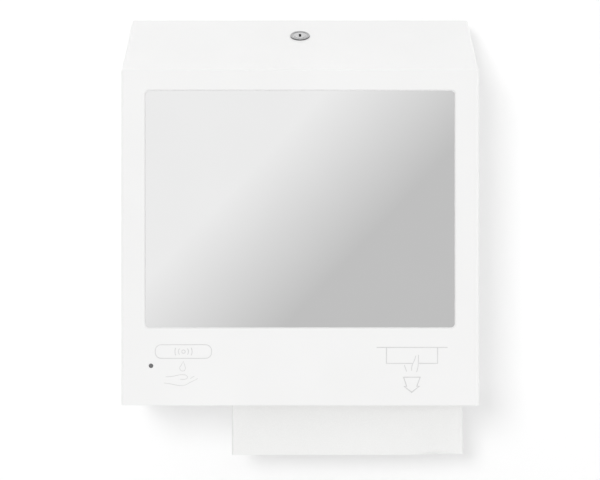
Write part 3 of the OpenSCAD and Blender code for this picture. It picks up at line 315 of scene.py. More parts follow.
wallSetup = {
    "half": 3.0, "behind": 0.0006, "tone": (0.96, 0.96, 0.96),
    "white": (0.40, 0.80), "wash": 0.04,  # pure white sets in between these distances
}


def makeWall():
    bm = bmesh.new()
    bmesh.ops.create_grid(bm, x_segments=1, y_segments=1, size=wallSetup["half"])
    upright = Matrix.Translation((0, wallSetup["behind"], 0)) @ Matrix.Rotation(math.radians(90), 4, "X")
    bmesh.ops.transform(bm, matrix=upright, verts=bm.verts)
    wall = keep(bm, "studio_wall")
    material = bpy.data.materials.new("wallPaint")
    material.use_nodes = True
    tree = material.node_tree
    tree.nodes.clear()
    link = tree.links.new
    add = tree.nodes.new
    paint = add("ShaderNodeBsdfDiffuse")
    paint.inputs["Color"].default_value = (*wallSetup["tone"], 1)
    glow = add("ShaderNodeEmission")
    glow.inputs["Strength"].default_value = 1.0
    distance = add("ShaderNodeVectorMath")
    distance.operation = "LENGTH"
    link(add("ShaderNodeTexCoord").outputs["Object"], distance.inputs[0])
    fade = spread(tree, distance.outputs["Value"], (wallSetup["wash"], 1), wallSetup["white"], "SMOOTHSTEP")
    seenFar = combine(tree, "MULTIPLY", fade, add("ShaderNodeLightPath").outputs["Is Camera Ray"])
    front = mixed(tree, seenFar, paint.outputs[0], glow.outputs[0])
    fromBehind = add("ShaderNodeNewGeometry").outputs["Backfacing"]
    nothing = add("ShaderNodeBsdfTransparent").outputs[0]
    oneSided = mixed(tree, fromBehind, front, nothing)  # no wall shows from behind
    link(oneSided, add("ShaderNodeOutputMaterial").inputs["Surface"])
    wall.data.materials.append(material)
    wall.visible_shadow = False
    return wall


def lightGroup(name, things, state):
    group = bpy.data.collections.new(name)
    for thing in things:
        group.objects.link(thing)
    for member in group.collection_objects:
        member.light_linking.link_state = state
    return group


makeRoom()
studioWall = makeWall()
wallAlone = lightGroup("wallAlone", [studioWall], "INCLUDE")
wallLeftOut = lightGroup("wallLeftOut", [studioWall], "EXCLUDE")
bpy.data.objects["wallKey"].light_linking.receiver_collection = wallAlone
for lampName in ("partKey", "edge", "low"):
    bpy.data.objects[lampName].light_linking.receiver_collection = wallLeftOut
print("camera, wall and light set")


# Finishes

def startFinish(name):
    material = bpy.data.materials.new(name)
    material.use_nodes = True
    tree = material.node_tree
    tree.nodes.clear()
    shader = tree.nodes.new("ShaderNodeBsdfPrincipled")
    tree.links.new(shader.outputs[0], tree.nodes.new("ShaderNodeOutputMaterial").inputs["Surface"])
    return material, tree, shader, tree.nodes.new("ShaderNodeTexCoord").outputs["Object"]


def stretched(tree, where, scale, turn):
    mapping = tree.nodes.new("ShaderNodeMapping")
    mapping.inputs["Scale"].default_value = scale
    mapping.inputs["Rotation"].default_value = turn
    tree.links.new(where, mapping.inputs["Vector"])
    return mapping.outputs[0]


def noise(tree, where, scale, detail):
    texture = tree.nodes.new("ShaderNodeTexNoise")
    texture.inputs["Scale"].default_value = scale
    texture.inputs["Detail"].default_value = detail
    tree.links.new(where, texture.inputs["Vector"])
    return texture.outputs["Fac"]


def tones(tree, value, stops):
    ramp = tree.nodes.new("ShaderNodeValToRGB")
    while len(ramp.color_ramp.elements) < len(stops):
        ramp.color_ramp.elements.new(0.5)
    for element, (place, tone) in zip(ramp.color_ramp.elements, stops):
        element.position = place
        element.color = (*tone, 1)
    tree.links.new(value, ramp.inputs["Fac"])
    return ramp.outputs["Color"]


def between(dark, light, edge=0.3):
    return [(edge, dark), (1 - edge, light)]


def relief(tree, shader, height, depth, strength):
    bump = tree.nodes.new("ShaderNodeBump")
    bump.inputs["Distance"].default_value = depth
    bump.inputs["Strength"].default_value = strength
    tree.links.new(height, bump.inputs["Height"])
    tree.links.new(bump.outputs["Normal"], shader.inputs["Normal"])


def near(tone, by):
    return tuple(max(0.0, min(1.0, c * (1 + by))) for c in tone)


# cloud and fine are noises with their scale and detail, tone and rough are how far the finish swings
grains = {
    "coat": {"cloud": (9, 3), "fine": (620, 1), "edge": 0.35, "tone": (-0.012, 0.008),
             "rough": (-0.05, 0.06), "depth": 0.00003, "strength": 0.35},
    "steel": {"cloud": (60, 3), "fine": (900, 3), "edge": 0.3, "tone": (-0.10, 0.06),
              "rough": (-0.08, 0.10), "depth": 0.00002, "strength": 0.4},
    "plastic": {"cloud": (25, 3), "fine": (1400, 2), "edge": 0.3, "tone": (-0.05, 0.04),
                "rough": (-0.07, 0.08), "depth": 0.00003, "strength": 0.45},
    "clear": {"cloud": (30, 3), "fine": (180, 2), "edge": 0.3, "tone": (-0.03, 0.02),
              "rough": (-0.2, 0.2), "depth": 0.00004, "strength": 0.3},
    "rubber": {"cloud": (300, 4), "fine": (300, 4), "edge": 0.3, "tone": (-0.2, 0.25),
               "rough": (-0.08, 0.08), "depth": 0.00005, "strength": 0.5},
}


def grained(name, tone, rough, kind, fineScale=None):
    grain = grains[kind]
    material, tree, shader, where = startFinish(name)
    cloud = noise(tree, where, *grain["cloud"])
    scale, detail = grain["fine"]
    fine = noise(tree, where, fineScale or scale, detail)
    dark, light = (near(tone, by) for by in grain["tone"])
    tree.links.new(tones(tree, cloud, between(dark, light, grain["edge"])), shader.inputs["Base Color"])
    swing = rough if kind == "clear" else 1  # a clear finish swings by shares of its roughness
    roughness = spread(tree, fine, [rough + by * swing for by in grain["rough"]])
    tree.links.new(roughness, shader.inputs["Roughness"])
    relief(tree, shader, fine, grain["depth"], grain["strength"])
    return material, shader


def powderCoat(name, tone, rough):
    return grained(name, tone, rough, "coat")[0]


def platedSteel(name, tone, rough):
    material, shader = grained(name, tone, rough, "steel")
    shader.inputs["Metallic"].default_value = 1.0
    return material


def mouldedPlastic(name, tone, rough, sparkle=None):
    return grained(name, tone, rough, "plastic", sparkle)[0]


def seeThrough(name, tone, rough, through, ior):
    material, shader = grained(name, tone, rough, "clear")
    shader.inputs["Transmission Weight"].default_value = through
    shader.inputs["IOR"].default_value = ior
    return material


def softRubber(name, tone, rough):
    return grained(name, tone, rough, "rubber")[0]


paperSetup = {
    "tone": (0.855, 0.855, 0.85), "swing": (-0.02, 0.015),
    "dimSheet": (0.95, 0.95, 0.945), "fullSheet": (1, 1, 1),  # each sheet of the pile lies between these
    "dotPitch": 0.0042, "dotEdge": (0.12, 0.42), "depth": 0.00012, "strength": 0.5,
    "fibre": (900, 5), "fibreShare": 0.25, "crumple": (38, 3), "crumpleShare": 1.4,
    "rough": (0.82, 0.95), "shine": 0.25,
}


def tissuePaper(name, flatten):
    paper = paperSetup
    material, tree, shader, where = startFinish(name)
    link = tree.links.new
    dots = tree.nodes.new("ShaderNodeTexVoronoi")  # pressed dots in a square lattice set on its corner
    dots.inputs["Scale"].default_value = 1 / paper["dotPitch"]
    dots.inputs["Randomness"].default_value = 0.0
    link(stretched(tree, where, flatten, (0, math.radians(45), 0)), dots.inputs["Vector"])
    dimple = spread(tree, dots.outputs["Distance"], (0, 1), paper["dotEdge"])
    fibre = noise(tree, where, *paper["fibre"])
    crumple = noise(tree, where, *paper["crumple"])
    height = combine(tree, "MULTIPLY_ADD", fibre, paper["fibreShare"], dimple)
    height = combine(tree, "MULTIPLY_ADD", crumple, paper["crumpleShare"], height)
    relief(tree, shader, height, paper["depth"], paper["strength"])
    dark, light = (near(paper["tone"], by) for by in paper["swing"])
    eachSheet = tree.nodes.new("ShaderNodeNewGeometry").outputs["Random Per Island"]
    sheetTone = tree.nodes.new("ShaderNodeMix")
    sheetTone.data_type = "RGBA"
    sheetTone.blend_type = "MULTIPLY"
    sheetTone.inputs["Factor"].default_value = 1.0
    link(tones(tree, fibre, between(dark, light)), sheetTone.inputs[6])
    link(tones(tree, eachSheet, between(paper["dimSheet"], paper["fullSheet"], 0)), sheetTone.inputs[7])
    link(sheetTone.outputs[2], shader.inputs["Base Color"])
    link(spread(tree, fibre, paper["rough"]), shader.inputs["Roughness"])
    shader.inputs["Specular IOR Level"].default_value = paper["shine"]
    return material


silvering = {
    "dark": (0.928, 0.928, 0.928), "light": (0.938, 0.938, 0.938), "cloud": (14, 2), "rough": (0.006, 0.014),
}


def mirrorFinish(name):
    material, tree, shader, where = startFinish(name)
    link = tree.links.new
    cloud = noise(tree, where, *silvering["cloud"])
    link(tones(tree, cloud, between(silvering["dark"], silvering["light"])), shader.inputs["Base Color"])
    link(spread(tree, cloud, silvering["rough"]), shader.inputs["Roughness"])
    shader.inputs["Metallic"].default_value = 1.0
    return material


boardSetup = {
    "lacquer": (0.035, 0.17, 0.085), "patch": 0.12, "copper": 0.9, "trackScale": 260, "trackWide": 0.035,
    "gloss": (400, 2), "rough": (0.22, 0.36), "depth": 0.00003, "strength": 0.4,
}


def boardFinish(name):
    material, tree, shader, where = startFinish(name)
    link = tree.links.new
    lacquer = boardSetup["lacquer"]
    tracks = tree.nodes.new("ShaderNodeTexBrick")  # copper tracks under the lacquer
    tracks.inputs["Scale"].default_value = boardSetup["trackScale"]
    tracks.inputs["Mortar Size"].default_value = boardSetup["trackWide"]
    tracks.inputs["Color1"].default_value = (*lacquer, 1)
    tracks.inputs["Color2"].default_value = (*near(lacquer, boardSetup["patch"]), 1)
    tracks.inputs["Mortar"].default_value = (*near(lacquer, boardSetup["copper"]), 1)
    link(stretched(tree, where, (1, 1, 1), (math.radians(90), 0, 0)), tracks.inputs["Vector"])
    link(tracks.outputs["Color"], shader.inputs["Base Color"])
    gloss = noise(tree, where, *boardSetup["gloss"])
    link(spread(tree, gloss, boardSetup["rough"]), shader.inputs["Roughness"])
    relief(tree, shader, tracks.outputs["Fac"], boardSetup["depth"], boardSetup["strength"])
    return material


cellSetup = {
    "jacket": (0.035, 0.036, 0.04), "band": (0.55, 0.27, 0.06), "bandStart": (0.62, 0.64),
    "gloss": (220, 2), "rough": (0.26, 0.36), "wrinkle": (90, 2), "depth": 0.00005, "strength": 0.2,
}


def cellFinish(name):
    material, tree, shader, where = startFinish(name)
    link = tree.links.new
    low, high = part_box("battery_cells")
    apart = tree.nodes.new("ShaderNodeSeparateXYZ")
    link(where, apart.inputs[0])
    off = combine(tree, "SUBTRACT", apart.outputs["X"], (low.x + high.x) / 2)
    along = spread(tree, combine(tree, "ABSOLUTE", off), (0, 1), (0, (high.x - low.x) / 2))
    jacketEnd, bandFrom = cellSetup["bandStart"]
    jacket, band = cellSetup["jacket"], cellSetup["band"]
    stops = [(0, jacket), (jacketEnd, jacket), (bandFrom, band), (1, band)]
    link(tones(tree, along, stops), shader.inputs["Base Color"])
    gloss = noise(tree, where, *cellSetup["gloss"])
    link(spread(tree, gloss, cellSetup["rough"]), shader.inputs["Roughness"])
    wrinkle = noise(tree, where, *cellSetup["wrinkle"])
    relief(tree, shader, wrinkle, cellSetup["depth"], cellSetup["strength"])
    return material


finishes = {
    "painted_white": powderCoat("whitePowderCoat", (0.845, 0.845, 0.842), 0.42),
    "painted_grey": powderCoat("greyPowderCoat", (0.58, 0.59, 0.60), 0.46),
    "zinc_steel": platedSteel("zincPlate", (0.62, 0.63, 0.64), 0.36),
    "lock_chrome": platedSteel("satinChrome", (0.64, 0.64, 0.645), 0.24),
    "mirror_silver": mirrorFinish("mirrorSilver"),
    "white_plastic": mouldedPlastic("whiteMoulding", (0.78, 0.78, 0.765), 0.44),
    "grey_plastic": mouldedPlastic("greyMoulding", (0.20, 0.205, 0.215), 0.5),
    "dark_plastic": mouldedPlastic("darkMoulding", (0.032, 0.033, 0.036), 0.46),
    "tank_plastic": seeThrough("milkyTank", (0.89, 0.90, 0.88), 0.38, 0.30, 1.5),
    "clear_plastic": seeThrough("clearWindow", (0.95, 0.97, 0.975), 0.03, 0.96, 1.49),
    "black_rubber": softRubber("blackRubber", (0.02, 0.02, 0.02), 0.75),
    "hose_silicone": mouldedPlastic("hoseSilicone", (0.80, 0.775, 0.70), 0.32, 420),
    "paper_white": tissuePaper("tissuePaper", (1, 0, 1)),
    "gear_nylon": mouldedPlastic("gearNylon", (0.74, 0.70, 0.58), 0.4),
    "rotor_red": mouldedPlastic("rotorRed", (0.36, 0.022, 0.016), 0.38),
    "bush_brass": platedSteel("turnedBrass", (0.66, 0.47, 0.18), 0.28),
    "board_green": boardFinish("boardLacquer"),
    "cell_wrap": cellFinish("cellJacket"),
    "led_lens": mouldedPlastic("smokedLens", (0.145, 0.145, 0.148), 0.18, 500),
    "cable_black": softRubber("cableSheath", (0.022, 0.022, 0.025), 0.55),
}
extras = {
    "glassEdge": seeThrough("glassEdge", (0.62, 0.80, 0.74), 0.08, 0.5, 1.52),
    "mirrorBacking": mouldedPlastic("mirrorBacking", (0.22, 0.225, 0.23), 0.6, 900),
    "signInk": mouldedPlastic("signInk", (0.66, 0.66, 0.66), 0.55, 900),
    "chipBlack": mouldedPlastic("chipBlack", (0.02, 0.02, 0.021), 0.42, 1800),
    "plugNylon": mouldedPlastic("plugNylon", (0.72, 0.70, 0.64), 0.42),
    "foamTape": mouldedPlastic("foamTape", (0.92, 0.92, 0.915), 0.8, 700),
    "redLead": softRubber("redLead", (0.30, 0.02, 0.018), 0.5),
    "cellCap": platedSteel("cellCap", (0.68, 0.68, 0.67), 0.26),
    # painted shade: a near-black steel for the lock barrel's side wall, standing in for the shadow around the
    # lock
    "lockPaintedShade": platedSteel("lockPaintedShade", (0.10, 0.10, 0.105), 0.5),
    "lockRing": platedSteel("lockRing", (0.46, 0.46, 0.465), 0.3),
}
print("finishes mixed:", len(finishes) + len(extras))


# Solids that keep their own shape, with the softening of their edges in millimetres

softParts = {
    "back_plate": 0.35, "bottom_tray": 0.35, "hinge_pins": 0.4, "hinge_washers": 0.15, "lock_striker": 0.3,
    "divider_panel": 0.3, "right_guide": 0.3, "towel_chute": 0.6, "tank_shelf": 0.3, "soap_tank": 0.6,
    "lid_pin": 0.3, "outlet_cap": 0.5, "neck_washer": 0.2, "pump_hose": 0.0, "pump_chassis": 0.4,
    "pump_housing": 0.4, "pump_window": 0.3, "gear_plate": 0.4, "shaft_bushes": 0.2, "motor": 0.5,
    "control_box": 0.6, "control_lid": 0.5, "status_led": 0.0, "nozzle": 0.4, "sensor_window": 0.3,
    "sensor_holder": 0.4, "sensor_eyes": 0.0, "battery_box": 0.5, "battery_contacts": 0.12, "door_pins": 0.2,
    "battery_cable": 0.0, "motor_cable": 0.0, "mirror_clips": 0.2, "lock_barrel": 0.2, "lock_nut": 0.4,
    "lock_core": 0.2, "lock_cam": 0.25, "cam_screw": 0.3, "tank_lid": 0.5, "lid_seal": 0.2, "pump_rotor": 0.3,
    "rotor_shaft": 0.25, "rotor_gear": 0.12, "roller_1": 0.3, "roller_2": 0.3, "roller_3": 0.3,
    "motor_pinion": 0.1, "power_switch": 0.3, "battery_door": 0.4,
}


def makeSoftParts():
    for nodeName, width in softParts.items():
        bm = mergedCopy(nodeName)
        if width:
            softenEdges(bm, width / 1000)
        piece = keep(bm, nodeName + "_soft")
        polish(piece)
        dress(piece, [nodeName], finishes[slotOf[nodeName]])
    bpy.data.objects["motor_cable_soft"].data.materials[0] = extras["redLead"]
    print("softened solids:", len(softParts))


makeSoftParts()


# Cover

coverSheet = {
    "foldHeight": 0.347, "slopeDepth": 0.096, "sheet": 0.0015, "edgeRadius": 0.003, "edgeSegments": 6,
    "window": (0.320, 0.245), "windowHeight": 0.203, "windowRadius": 0.004, "windowSegments": 8,
    "pinHole": 0.00255, "pinAt": (-0.118, 0.012), "pinReach": (0.17, 0.20),
    "lensHole": 0.00235, "lensAt": (-0.154, 0.041), "lockHole": 0.00885, "lockBack": 0.064, "through": 0.01,
    "flatAngle": 0.3, "rimAngle": 50, "rimSoft": 0.0003, "windowSoft": 0.0013, "rimSlack": (0.0005, 0.00002),
}
windowMiddle = Vector((0, frontFace, lowerEdge + coverSheet["windowHeight"]))


def lockFrame():
    fold, back = coverSheet["foldHeight"], coverSheet["lockBack"]
    lean = math.atan2(coverHigh.z - lowerEdge - fold, coverSheet["slopeDepth"])
    at = Vector((0, frontFace + back, lowerEdge + fold + back * math.tan(lean)))
    return at, Vector((0, -math.sin(lean), math.cos(lean)))


lockAt, lockOut = lockFrame()


def foldSheet():
    bm = bmesh.new()
    addBlock(bm, coverHigh - coverLow, (coverLow + coverHigh) / 2)
    fold = Vector((0, frontFace, lowerEdge + coverSheet["foldHeight"]))
    everything = bm.verts[:] + bm.edges[:] + bm.faces[:]
    cut = bmesh.ops.bisect_plane(bm, geom=everything, plane_co=fold, plane_no=lockOut, clear_outer=True)
    rim = [e for e in cut["geom_cut"] if isinstance(e, bmesh.types.BMEdge)]
    bmesh.ops.contextual_create(bm, geom=rim)
    bmesh.ops.recalc_face_normals(bm, faces=bm.faces)
    openFaces = [f for f in bm.faces if f.normal.y > squareOn or f.normal.z < -squareOn]
    weight = bm.edges.layers.float.new("bevel_weight_edge")
    for edge in bm.edges:
        if not any(f in openFaces for f in edge.link_faces):
            edge[weight] = math.tan(edge.calc_face_angle() / 2)  # one radius on every fold
    bmesh.ops.delete(bm, geom=openFaces, context="FACES_ONLY")
    piece = keep(bm, "cover_shell")
    soft = piece.modifiers.new("edges", "BEVEL")
    soft.limit_method = "WEIGHT"
    soft.width = coverSheet["edgeRadius"]
    soft.segments = coverSheet["edgeSegments"]
    wall = piece.modifiers.new("sheet", "SOLIDIFY")
    wall.thickness = coverSheet["sheet"]
    wall.offset = -1
    wall.use_even_offset = True
    bake(piece)
    return piece


def cutOpenings(piece):
    width, height = coverSheet["window"]
    through = coverSheet["through"]
    window = bmesh.new()
    addBlock(window, (width, 2 * through, height), windowMiddle)
    corners = [e for e in window.edges if runsAlong(e, 1)]
    bevelEdges(window, corners, coverSheet["windowRadius"], coverSheet["windowSegments"])
    cutAway(piece, keep(window, "window_cut"))
    holes = bmesh.new()
    pinY, pinHeight = coverSheet["pinAt"]
    inner, outer = coverSheet["pinReach"]
    pinZ = lowerEdge + pinHeight
    for side in (-1, 1):
        addRod(holes, coverSheet["pinHole"], (side * inner, pinY, pinZ), (side * outer, pinY, pinZ))
    lensX, lensHeight = coverSheet["lensAt"]
    lensZ = lowerEdge + lensHeight
    addRod(holes, coverSheet["lensHole"], (lensX, frontFace - through, lensZ),
           (lensX, frontFace + through, lensZ))
    addRod(holes, coverSheet["lockHole"], lockAt - lockOut * through, lockAt + lockOut * through)
    cutAway(piece, keep(holes, "hole_cut"))


def softenRims(piece):
    aside, off = coverSheet["rimSlack"]
    halfWide, halfTall = (side / 2 + aside for side in coverSheet["window"])

    def onWindow(vert):
        place = vert.co - windowMiddle
        return abs(place.y) < off and abs(place.x) < halfWide and abs(place.z) < halfTall

    bm = bmesh.new()
    bm.from_mesh(piece.data)
    bmesh.ops.remove_doubles(bm, verts=bm.verts, dist=weld)
    flat = math.radians(coverSheet["flatAngle"])
    bmesh.ops.dissolve_limit(bm, angle_limit=flat, verts=bm.verts, edges=bm.edges)
    windowRim = [e for e in sharpEdges(bm, coverSheet["rimAngle"]) if all(onWindow(v) for v in e.verts)]
    bevelEdges(bm, windowRim, coverSheet["windowSoft"], 1, clamp=True)
    softenEdges(bm, coverSheet["rimSoft"], angle=coverSheet["rimAngle"])
    bm.to_mesh(piece.data)
    bm.free()


def makeCover():
    piece = foldSheet()
    cutOpenings(piece)
    softenRims(piece)
    polish(piece)
    dress(piece, ["front_cover"], finishes["painted_white"])
    eaves = lightGroup("eavesLeftOut", [piece, bpy.data.objects["bottom_tray_soft"],
                                        bpy.data.objects["towel_chute_soft"]], "EXCLUDE")
    bpy.data.objects["partKey"].light_linking.blocker_collection = eaves  # no hard band on the towel
    print("cover folded:", len(piece.data.polygons), "faces")


# where the lock's painted shade (a near-black rim on the barrel's side wall, standing in for the shadow of
# the gap around it) and its grey ring lie, by height over the slope and reach from the lock's axis
lockShades = {"paintedShadeHeight": (-0.0002, 0.0009), "paintedShadeReach": 0.0102, "ringHeight": 0.00075, "ringReach": 0.0078}


def shadeLock():
    barrel = bpy.data.objects["lock_barrel_soft"].data
    barrel.materials.append(extras["lockPaintedShade"])
    barrel.materials.append(extras["lockRing"])
    lowest, highest = lockShades["paintedShadeHeight"]
    for face in barrel.polygons:
        offs = [barrel.vertices[i].co - lockAt for i in face.vertices]
        height = sum(off.dot(lockOut) for off in offs) / len(offs)
        reach = sum((off - lockOut * off.dot(lockOut)).length for off in offs) / len(offs)
        # painted shade: the barrel's outer side wall turns near-black where the gap's shadow would fall
        if lowest < height < highest and reach > lockShades["paintedShadeReach"]:
            face.material_index = 1
        elif height > lockShades["ringHeight"] and reach > lockShades["ringReach"]:
            face.material_index = 2


makeCover()
shadeLock()


# Mirror and its foam tape

mirrorGlass = {"arris": 0.0005}


def makeMirror():
    bm = mergedCopy("mirror_glass")
    softenEdges(bm, mirrorGlass["arris"], 1)
    piece = keep(bm, "mirror_pane")
    dress(piece, ["mirror_glass"], finishes["mirror_silver"])
    piece.data.materials.append(extras["glassEdge"])
    piece.data.materials.append(extras["mirrorBacking"])
    for face in piece.data.polygons:
        face.material_index = 0 if face.normal.y < -squareOn else 2 if face.normal.y > squareOn else 1
    print("mirror set")


mirrorTape = {"fill": 0.00045, "cornerRadius": 0.0045, "slack": 0.0001}


def makeTape():
    bm = mergedCopy("mirror_tape")
    halfWide, halfTall = (side / 2 - coverSheet["windowRadius"] for side in coverSheet["window"])
    for vert in bm.verts:  # the foam swells up to the window's edge
        x, z = vert.co.x, vert.co.z - windowMiddle.z
        off = Vector((x - math.copysign(halfWide, x), 0, z - math.copysign(halfTall, z)))
        if off.length < mirrorTape["cornerRadius"] + mirrorTape["slack"]:
            vert.co -= off.normalized() * mirrorTape["fill"]
    piece = keep(bm, "mirror_tape_fill")
    polish(piece)
    dress(piece, ["mirror_tape"], extras["foamTape"])


makeMirror()
makeTape()


# Signs on the front, drawn as thin raised ink lines through points in pixels of the picture

signSetup = {
    "line": 0.0010, "proud": 0.00008, "roundness": 1, "smoothness": 6,
    "pixelsPerMetre": 967.6, "middle": (300, 240), "middleHeight": 0.171,
}


def fromPixel(px, py):
    middleX, middleY = signSetup["middle"]
    across = (px - middleX) / signSetup["pixelsPerMetre"]
    up = (middleY - py) / signSetup["pixelsPerMetre"]
    return Vector((across, 0, lowerEdge + signSetup["middleHeight"] + up))


def inkLine(points, closed, smooth, weight):
    data = bpy.data.curves.new("line", "CURVE")
    data.dimensions = "3D"
    data.bevel_depth = signSetup["line"] / 2 * weight
    data.bevel_resolution = signSetup["roundness"]
    data.resolution_u = signSetup["smoothness"]
    data.use_fill_caps = True
    spline = data.splines.new("BEZIER")
    spline.bezier_points.add(len(points) - 1)
    spline.use_cyclic_u = closed
    for knot, (px, py) in zip(spline.bezier_points, points):
        knot.co = fromPixel(px, py)
        knot.handle_left_type = knot.handle_right_type = "AUTO" if smooth else "VECTOR"
    drawn = bpy.data.objects.new("line", data)
    scene.collection.objects.link(drawn)
    mesh = finalMesh(drawn)
    bpy.data.objects.remove(drawn)
    bpy.data.curves.remove(data)
    return mesh


def makeSign(name, lines, weight):
    bm = bmesh.new()
    for points, closed, smooth in lines:
        mesh = inkLine(points, closed, smooth, weight)
        bm.from_mesh(mesh)
        bpy.data.meshes.remove(mesh)
    flat = signSetup["proud"] * 2 / signSetup["line"] / weight
    pressed = Matrix.Translation((0, frontFace, 0)) @ Matrix.Diagonal((1, flat, 1, 1))
    bmesh.ops.transform(bm, matrix=pressed, verts=bm.verts)
    bmesh.ops.recalc_face_normals(bm, faces=bm.faces)
    piece = keep(bm, name)
    smoothFaces(piece)
    dress(piece, [], extras["signInk"], "cover", "painted_white")


def arc(px, py, radius, start, end, steps=6):
    turns = [math.radians(start + (end - start) * i / steps) for i in range(steps + 1)]
    return [(px + radius * math.cos(turn), py + radius * math.sin(turn)) for turn in turns]


pill = {"left": 161.2, "middle": 183.5, "right": 205.6, "upper": 350.7, "lower": 352.4, "radius": 6.0}
sensingEye = {
    "at": (183.5, 351.6), "radius": 1.7, "turn": 324,
    "waves": ((5.0, 38), (8.6, 26)),  # each wave's radius and half angle
}


def pillOutline():
    left, right, upper, lower = (pill[side] for side in ("left", "right", "upper", "lower"))
    radius = pill["radius"]
    rightEnd = arc(right, upper, radius, -90, 0) + arc(right, lower, radius, 0, 90)
    leftEnd = arc(left, lower, radius, 90, 180) + arc(left, upper, radius, 180, 270)
    return rightEnd + [(pill["middle"], lower + radius)] + leftEnd + [(pill["middle"], upper - radius)]


# each line is its points, whether it closes and whether it is smooth
eyeOutline = arc(*sensingEye["at"], sensingEye["radius"], 0, sensingEye["turn"], 9)
soapSign = [(pillOutline(), True, False), (eyeOutline, True, True)]
for waveRadius, half in sensingEye["waves"]:
    for facing in (0, 180):
        soapSign.append((arc(*sensingEye["at"], waveRadius, facing - half, facing + half, 4), False, True))
dropOutline = [(183.2, 361.2), (181.6, 364.6)] + arc(182.6, 368.2, 2.9, 200, -20, 8) + [(184.6, 364.6)]
upperHand = [(165.6, 376.8), (172, 376.5), (177.5, 375.2), (182, 374.7), (186.2, 375.4), (187.6, 377.4),
             (185.6, 379.0), (180.2, 379.3)]
lowerHand = [(164.0, 383.0), (170, 383.8), (176, 385.0), (181, 385.6), (186, 384.7), (190.2, 382.3),
             (196.2, 379.5)]
handSign = [
    (dropOutline, True, False),
    (upperHand, False, True),
    (lowerHand, False, True),
    ([(190.2, 378.6), (194.4, 376.0)], False, True),
    ([(196.2, 379.5), (197.6, 378.2)], False, True),
]
towelSign = [
    ([(376.6, 347.4), (447.6, 347.4)], False, False),
    ([(386.5, 347.4), (386.5, 363.4), (413.2, 363.4)], False, False),
    ([(437.6, 347.4), (437.6, 363.4), (418.9, 363.4)], False, False),
]
fingerSign = [
    ([(416.0, 355.6), (414.3, 360.6), (412.1, 365.4), (411.5, 370.6)], False, True),
    ([(418.5, 354.8), (418.4, 361.0), (417.9, 367.6), (416.6, 372.0)], False, True),
    ([(404.4, 365.2), (406.6, 371.6)], False, True),
]
arrowOutline = [(403.6, 377.2), (420.2, 377.2), (416.9, 386.2), (419.2, 386.4), (411.7, 392.2),
                (404.2, 386.4), (406.6, 386.2)]
signs = {  # each sign's lines and their weight
    "soap_sign": (soapSign, 0.88), "hand_sign": (handSign, 0.68), "towel_sign": (towelSign, 1.0),
    "finger_sign": (fingerSign, 0.84), "pull_arrow": ([(arrowOutline, True, False)], 1.8),
}
for signName, (lines, weight) in signs.items():
    makeSign(signName, lines, weight)
print("signs drawn")


# Screws with a domed head and a cross recess

wideHead = {
    "head": 0.0035, "height": 0.0022, "shank": 0.0020, "cross": 0.0042, "slot": 0.0009, "deep": 0.0012,
}
smallHead = {
    "head": 0.0022, "height": 0.0013, "shank": 0.00125, "cross": 0.0026, "slot": 0.0006, "deep": 0.0008,
}
screwSets = {"sheet_screws": wideHead, "chassis_screws": wideHead, "small_screws": smallHead}
# the dome's points are shares of the head's radius and height, headFrom is a share of the shank's radius
screwShape = {
    "dome": ((0, 1), (0.45, 0.97), (0.78, 0.80), (0.96, 0.42), (1, 0.12), (1, 0)),
    "tip": 0.0004, "sides": 24, "crossTurn": 20, "headFrom": 1.4, "sharpFrom": 35, "seed": 4,
}


def screwMesh(size, length):
    tall, shank, tip = size["height"], size["shank"], screwShape["tip"]
    outline = [(size["head"] * reach, tall * height) for reach, height in screwShape["dome"]]
    outline += [(shank, 0), (shank, tip - length), (shank - tip, -length), (0, -length)]
    bm = lathe([(r, 0, z) for r, z in outline], (0, 0, 0), (0, 0, 1), screwShape["sides"])
    piece = keep(bm, "screw")
    for turn in (0, 90):
        slot = bmesh.new()
        slant = Matrix.Rotation(math.radians(turn + screwShape["crossTurn"]), 4, "Z")
        addBlock(slot, (size["cross"], size["slot"], size["deep"] * 2), (0, 0, tall), slant)
        cutAway(piece, keep(slot, "slot"))
    mesh = piece.data.copy()
    bpy.data.objects.remove(piece)
    return mesh


def makeScrews():
    random.seed(screwShape["seed"])
    for nodeName, size in screwSets.items():
        source = mergedCopy(nodeName)
        made = bmesh.new()
        stock = {}
        headFrom = size["shank"] * screwShape["headFrom"]
        for group in islands(source):
            low, high = reachOf(group)
            middle = (low + high) / 2
            head = [v for v in group if math.hypot(v.co.x - middle.x, v.co.z - middle.z) > headFrom]
            headFront = max(v.co.y for v in head) < middle.y  # most heads face the front, the rest the wall
            length = round(high.y - low.y - size["height"], 5)
            if length not in stock:
                stock[length] = screwMesh(size, length)
            seatY = low.y + size["height"] if headFront else high.y - size["height"]
            seat = Vector((middle.x, seatY, middle.z))
            facing = Matrix.Rotation(math.radians(90 if headFront else -90), 4, "X")
            turn = Matrix.Rotation(random.uniform(0, math.tau), 4, "Z")
            copy = stock[length].copy()
            copy.transform(Matrix.Translation(seat) @ facing @ turn)
            made.from_mesh(copy)
            bpy.data.meshes.remove(copy)
        source.free()
        piece = keep(made, nodeName + "_cross")
        polish(piece, screwShape["sharpFrom"])
        dress(piece, [nodeName], finishes["zinc_steel"])
    print("screws cut")


makeScrews()


# Towels

hangingSheet = {
    "across": 90, "down": 60, "rowEase": 1.5, "ply": 0.00035, "bow": 0.0011, "bowTurn": 300,
    "ripple": 0.0007, "rippleAcross": (7.3, 1.1), "rippleDown": (3, 0.4),
    "cornerAcross": (0.78, 0.90), "cornerDown": (0.70, 1.0), "curl": 0.0016, "lift": 0.0017,
    "lip": 0.0012, "lipStart": (0.80, 0.86), "lipEnd": (0.91, 0.97), "lipDown": (0.982, 1.0),
}


def easeBetween(value, span):
    start, end = span
    share = max(0.0, min(1.0, (value - start) / (end - start)))
    return share * share * (3 - 2 * share)


def waveAt(value, wave):
    rate, start = wave
    return math.sin(value * rate + start)


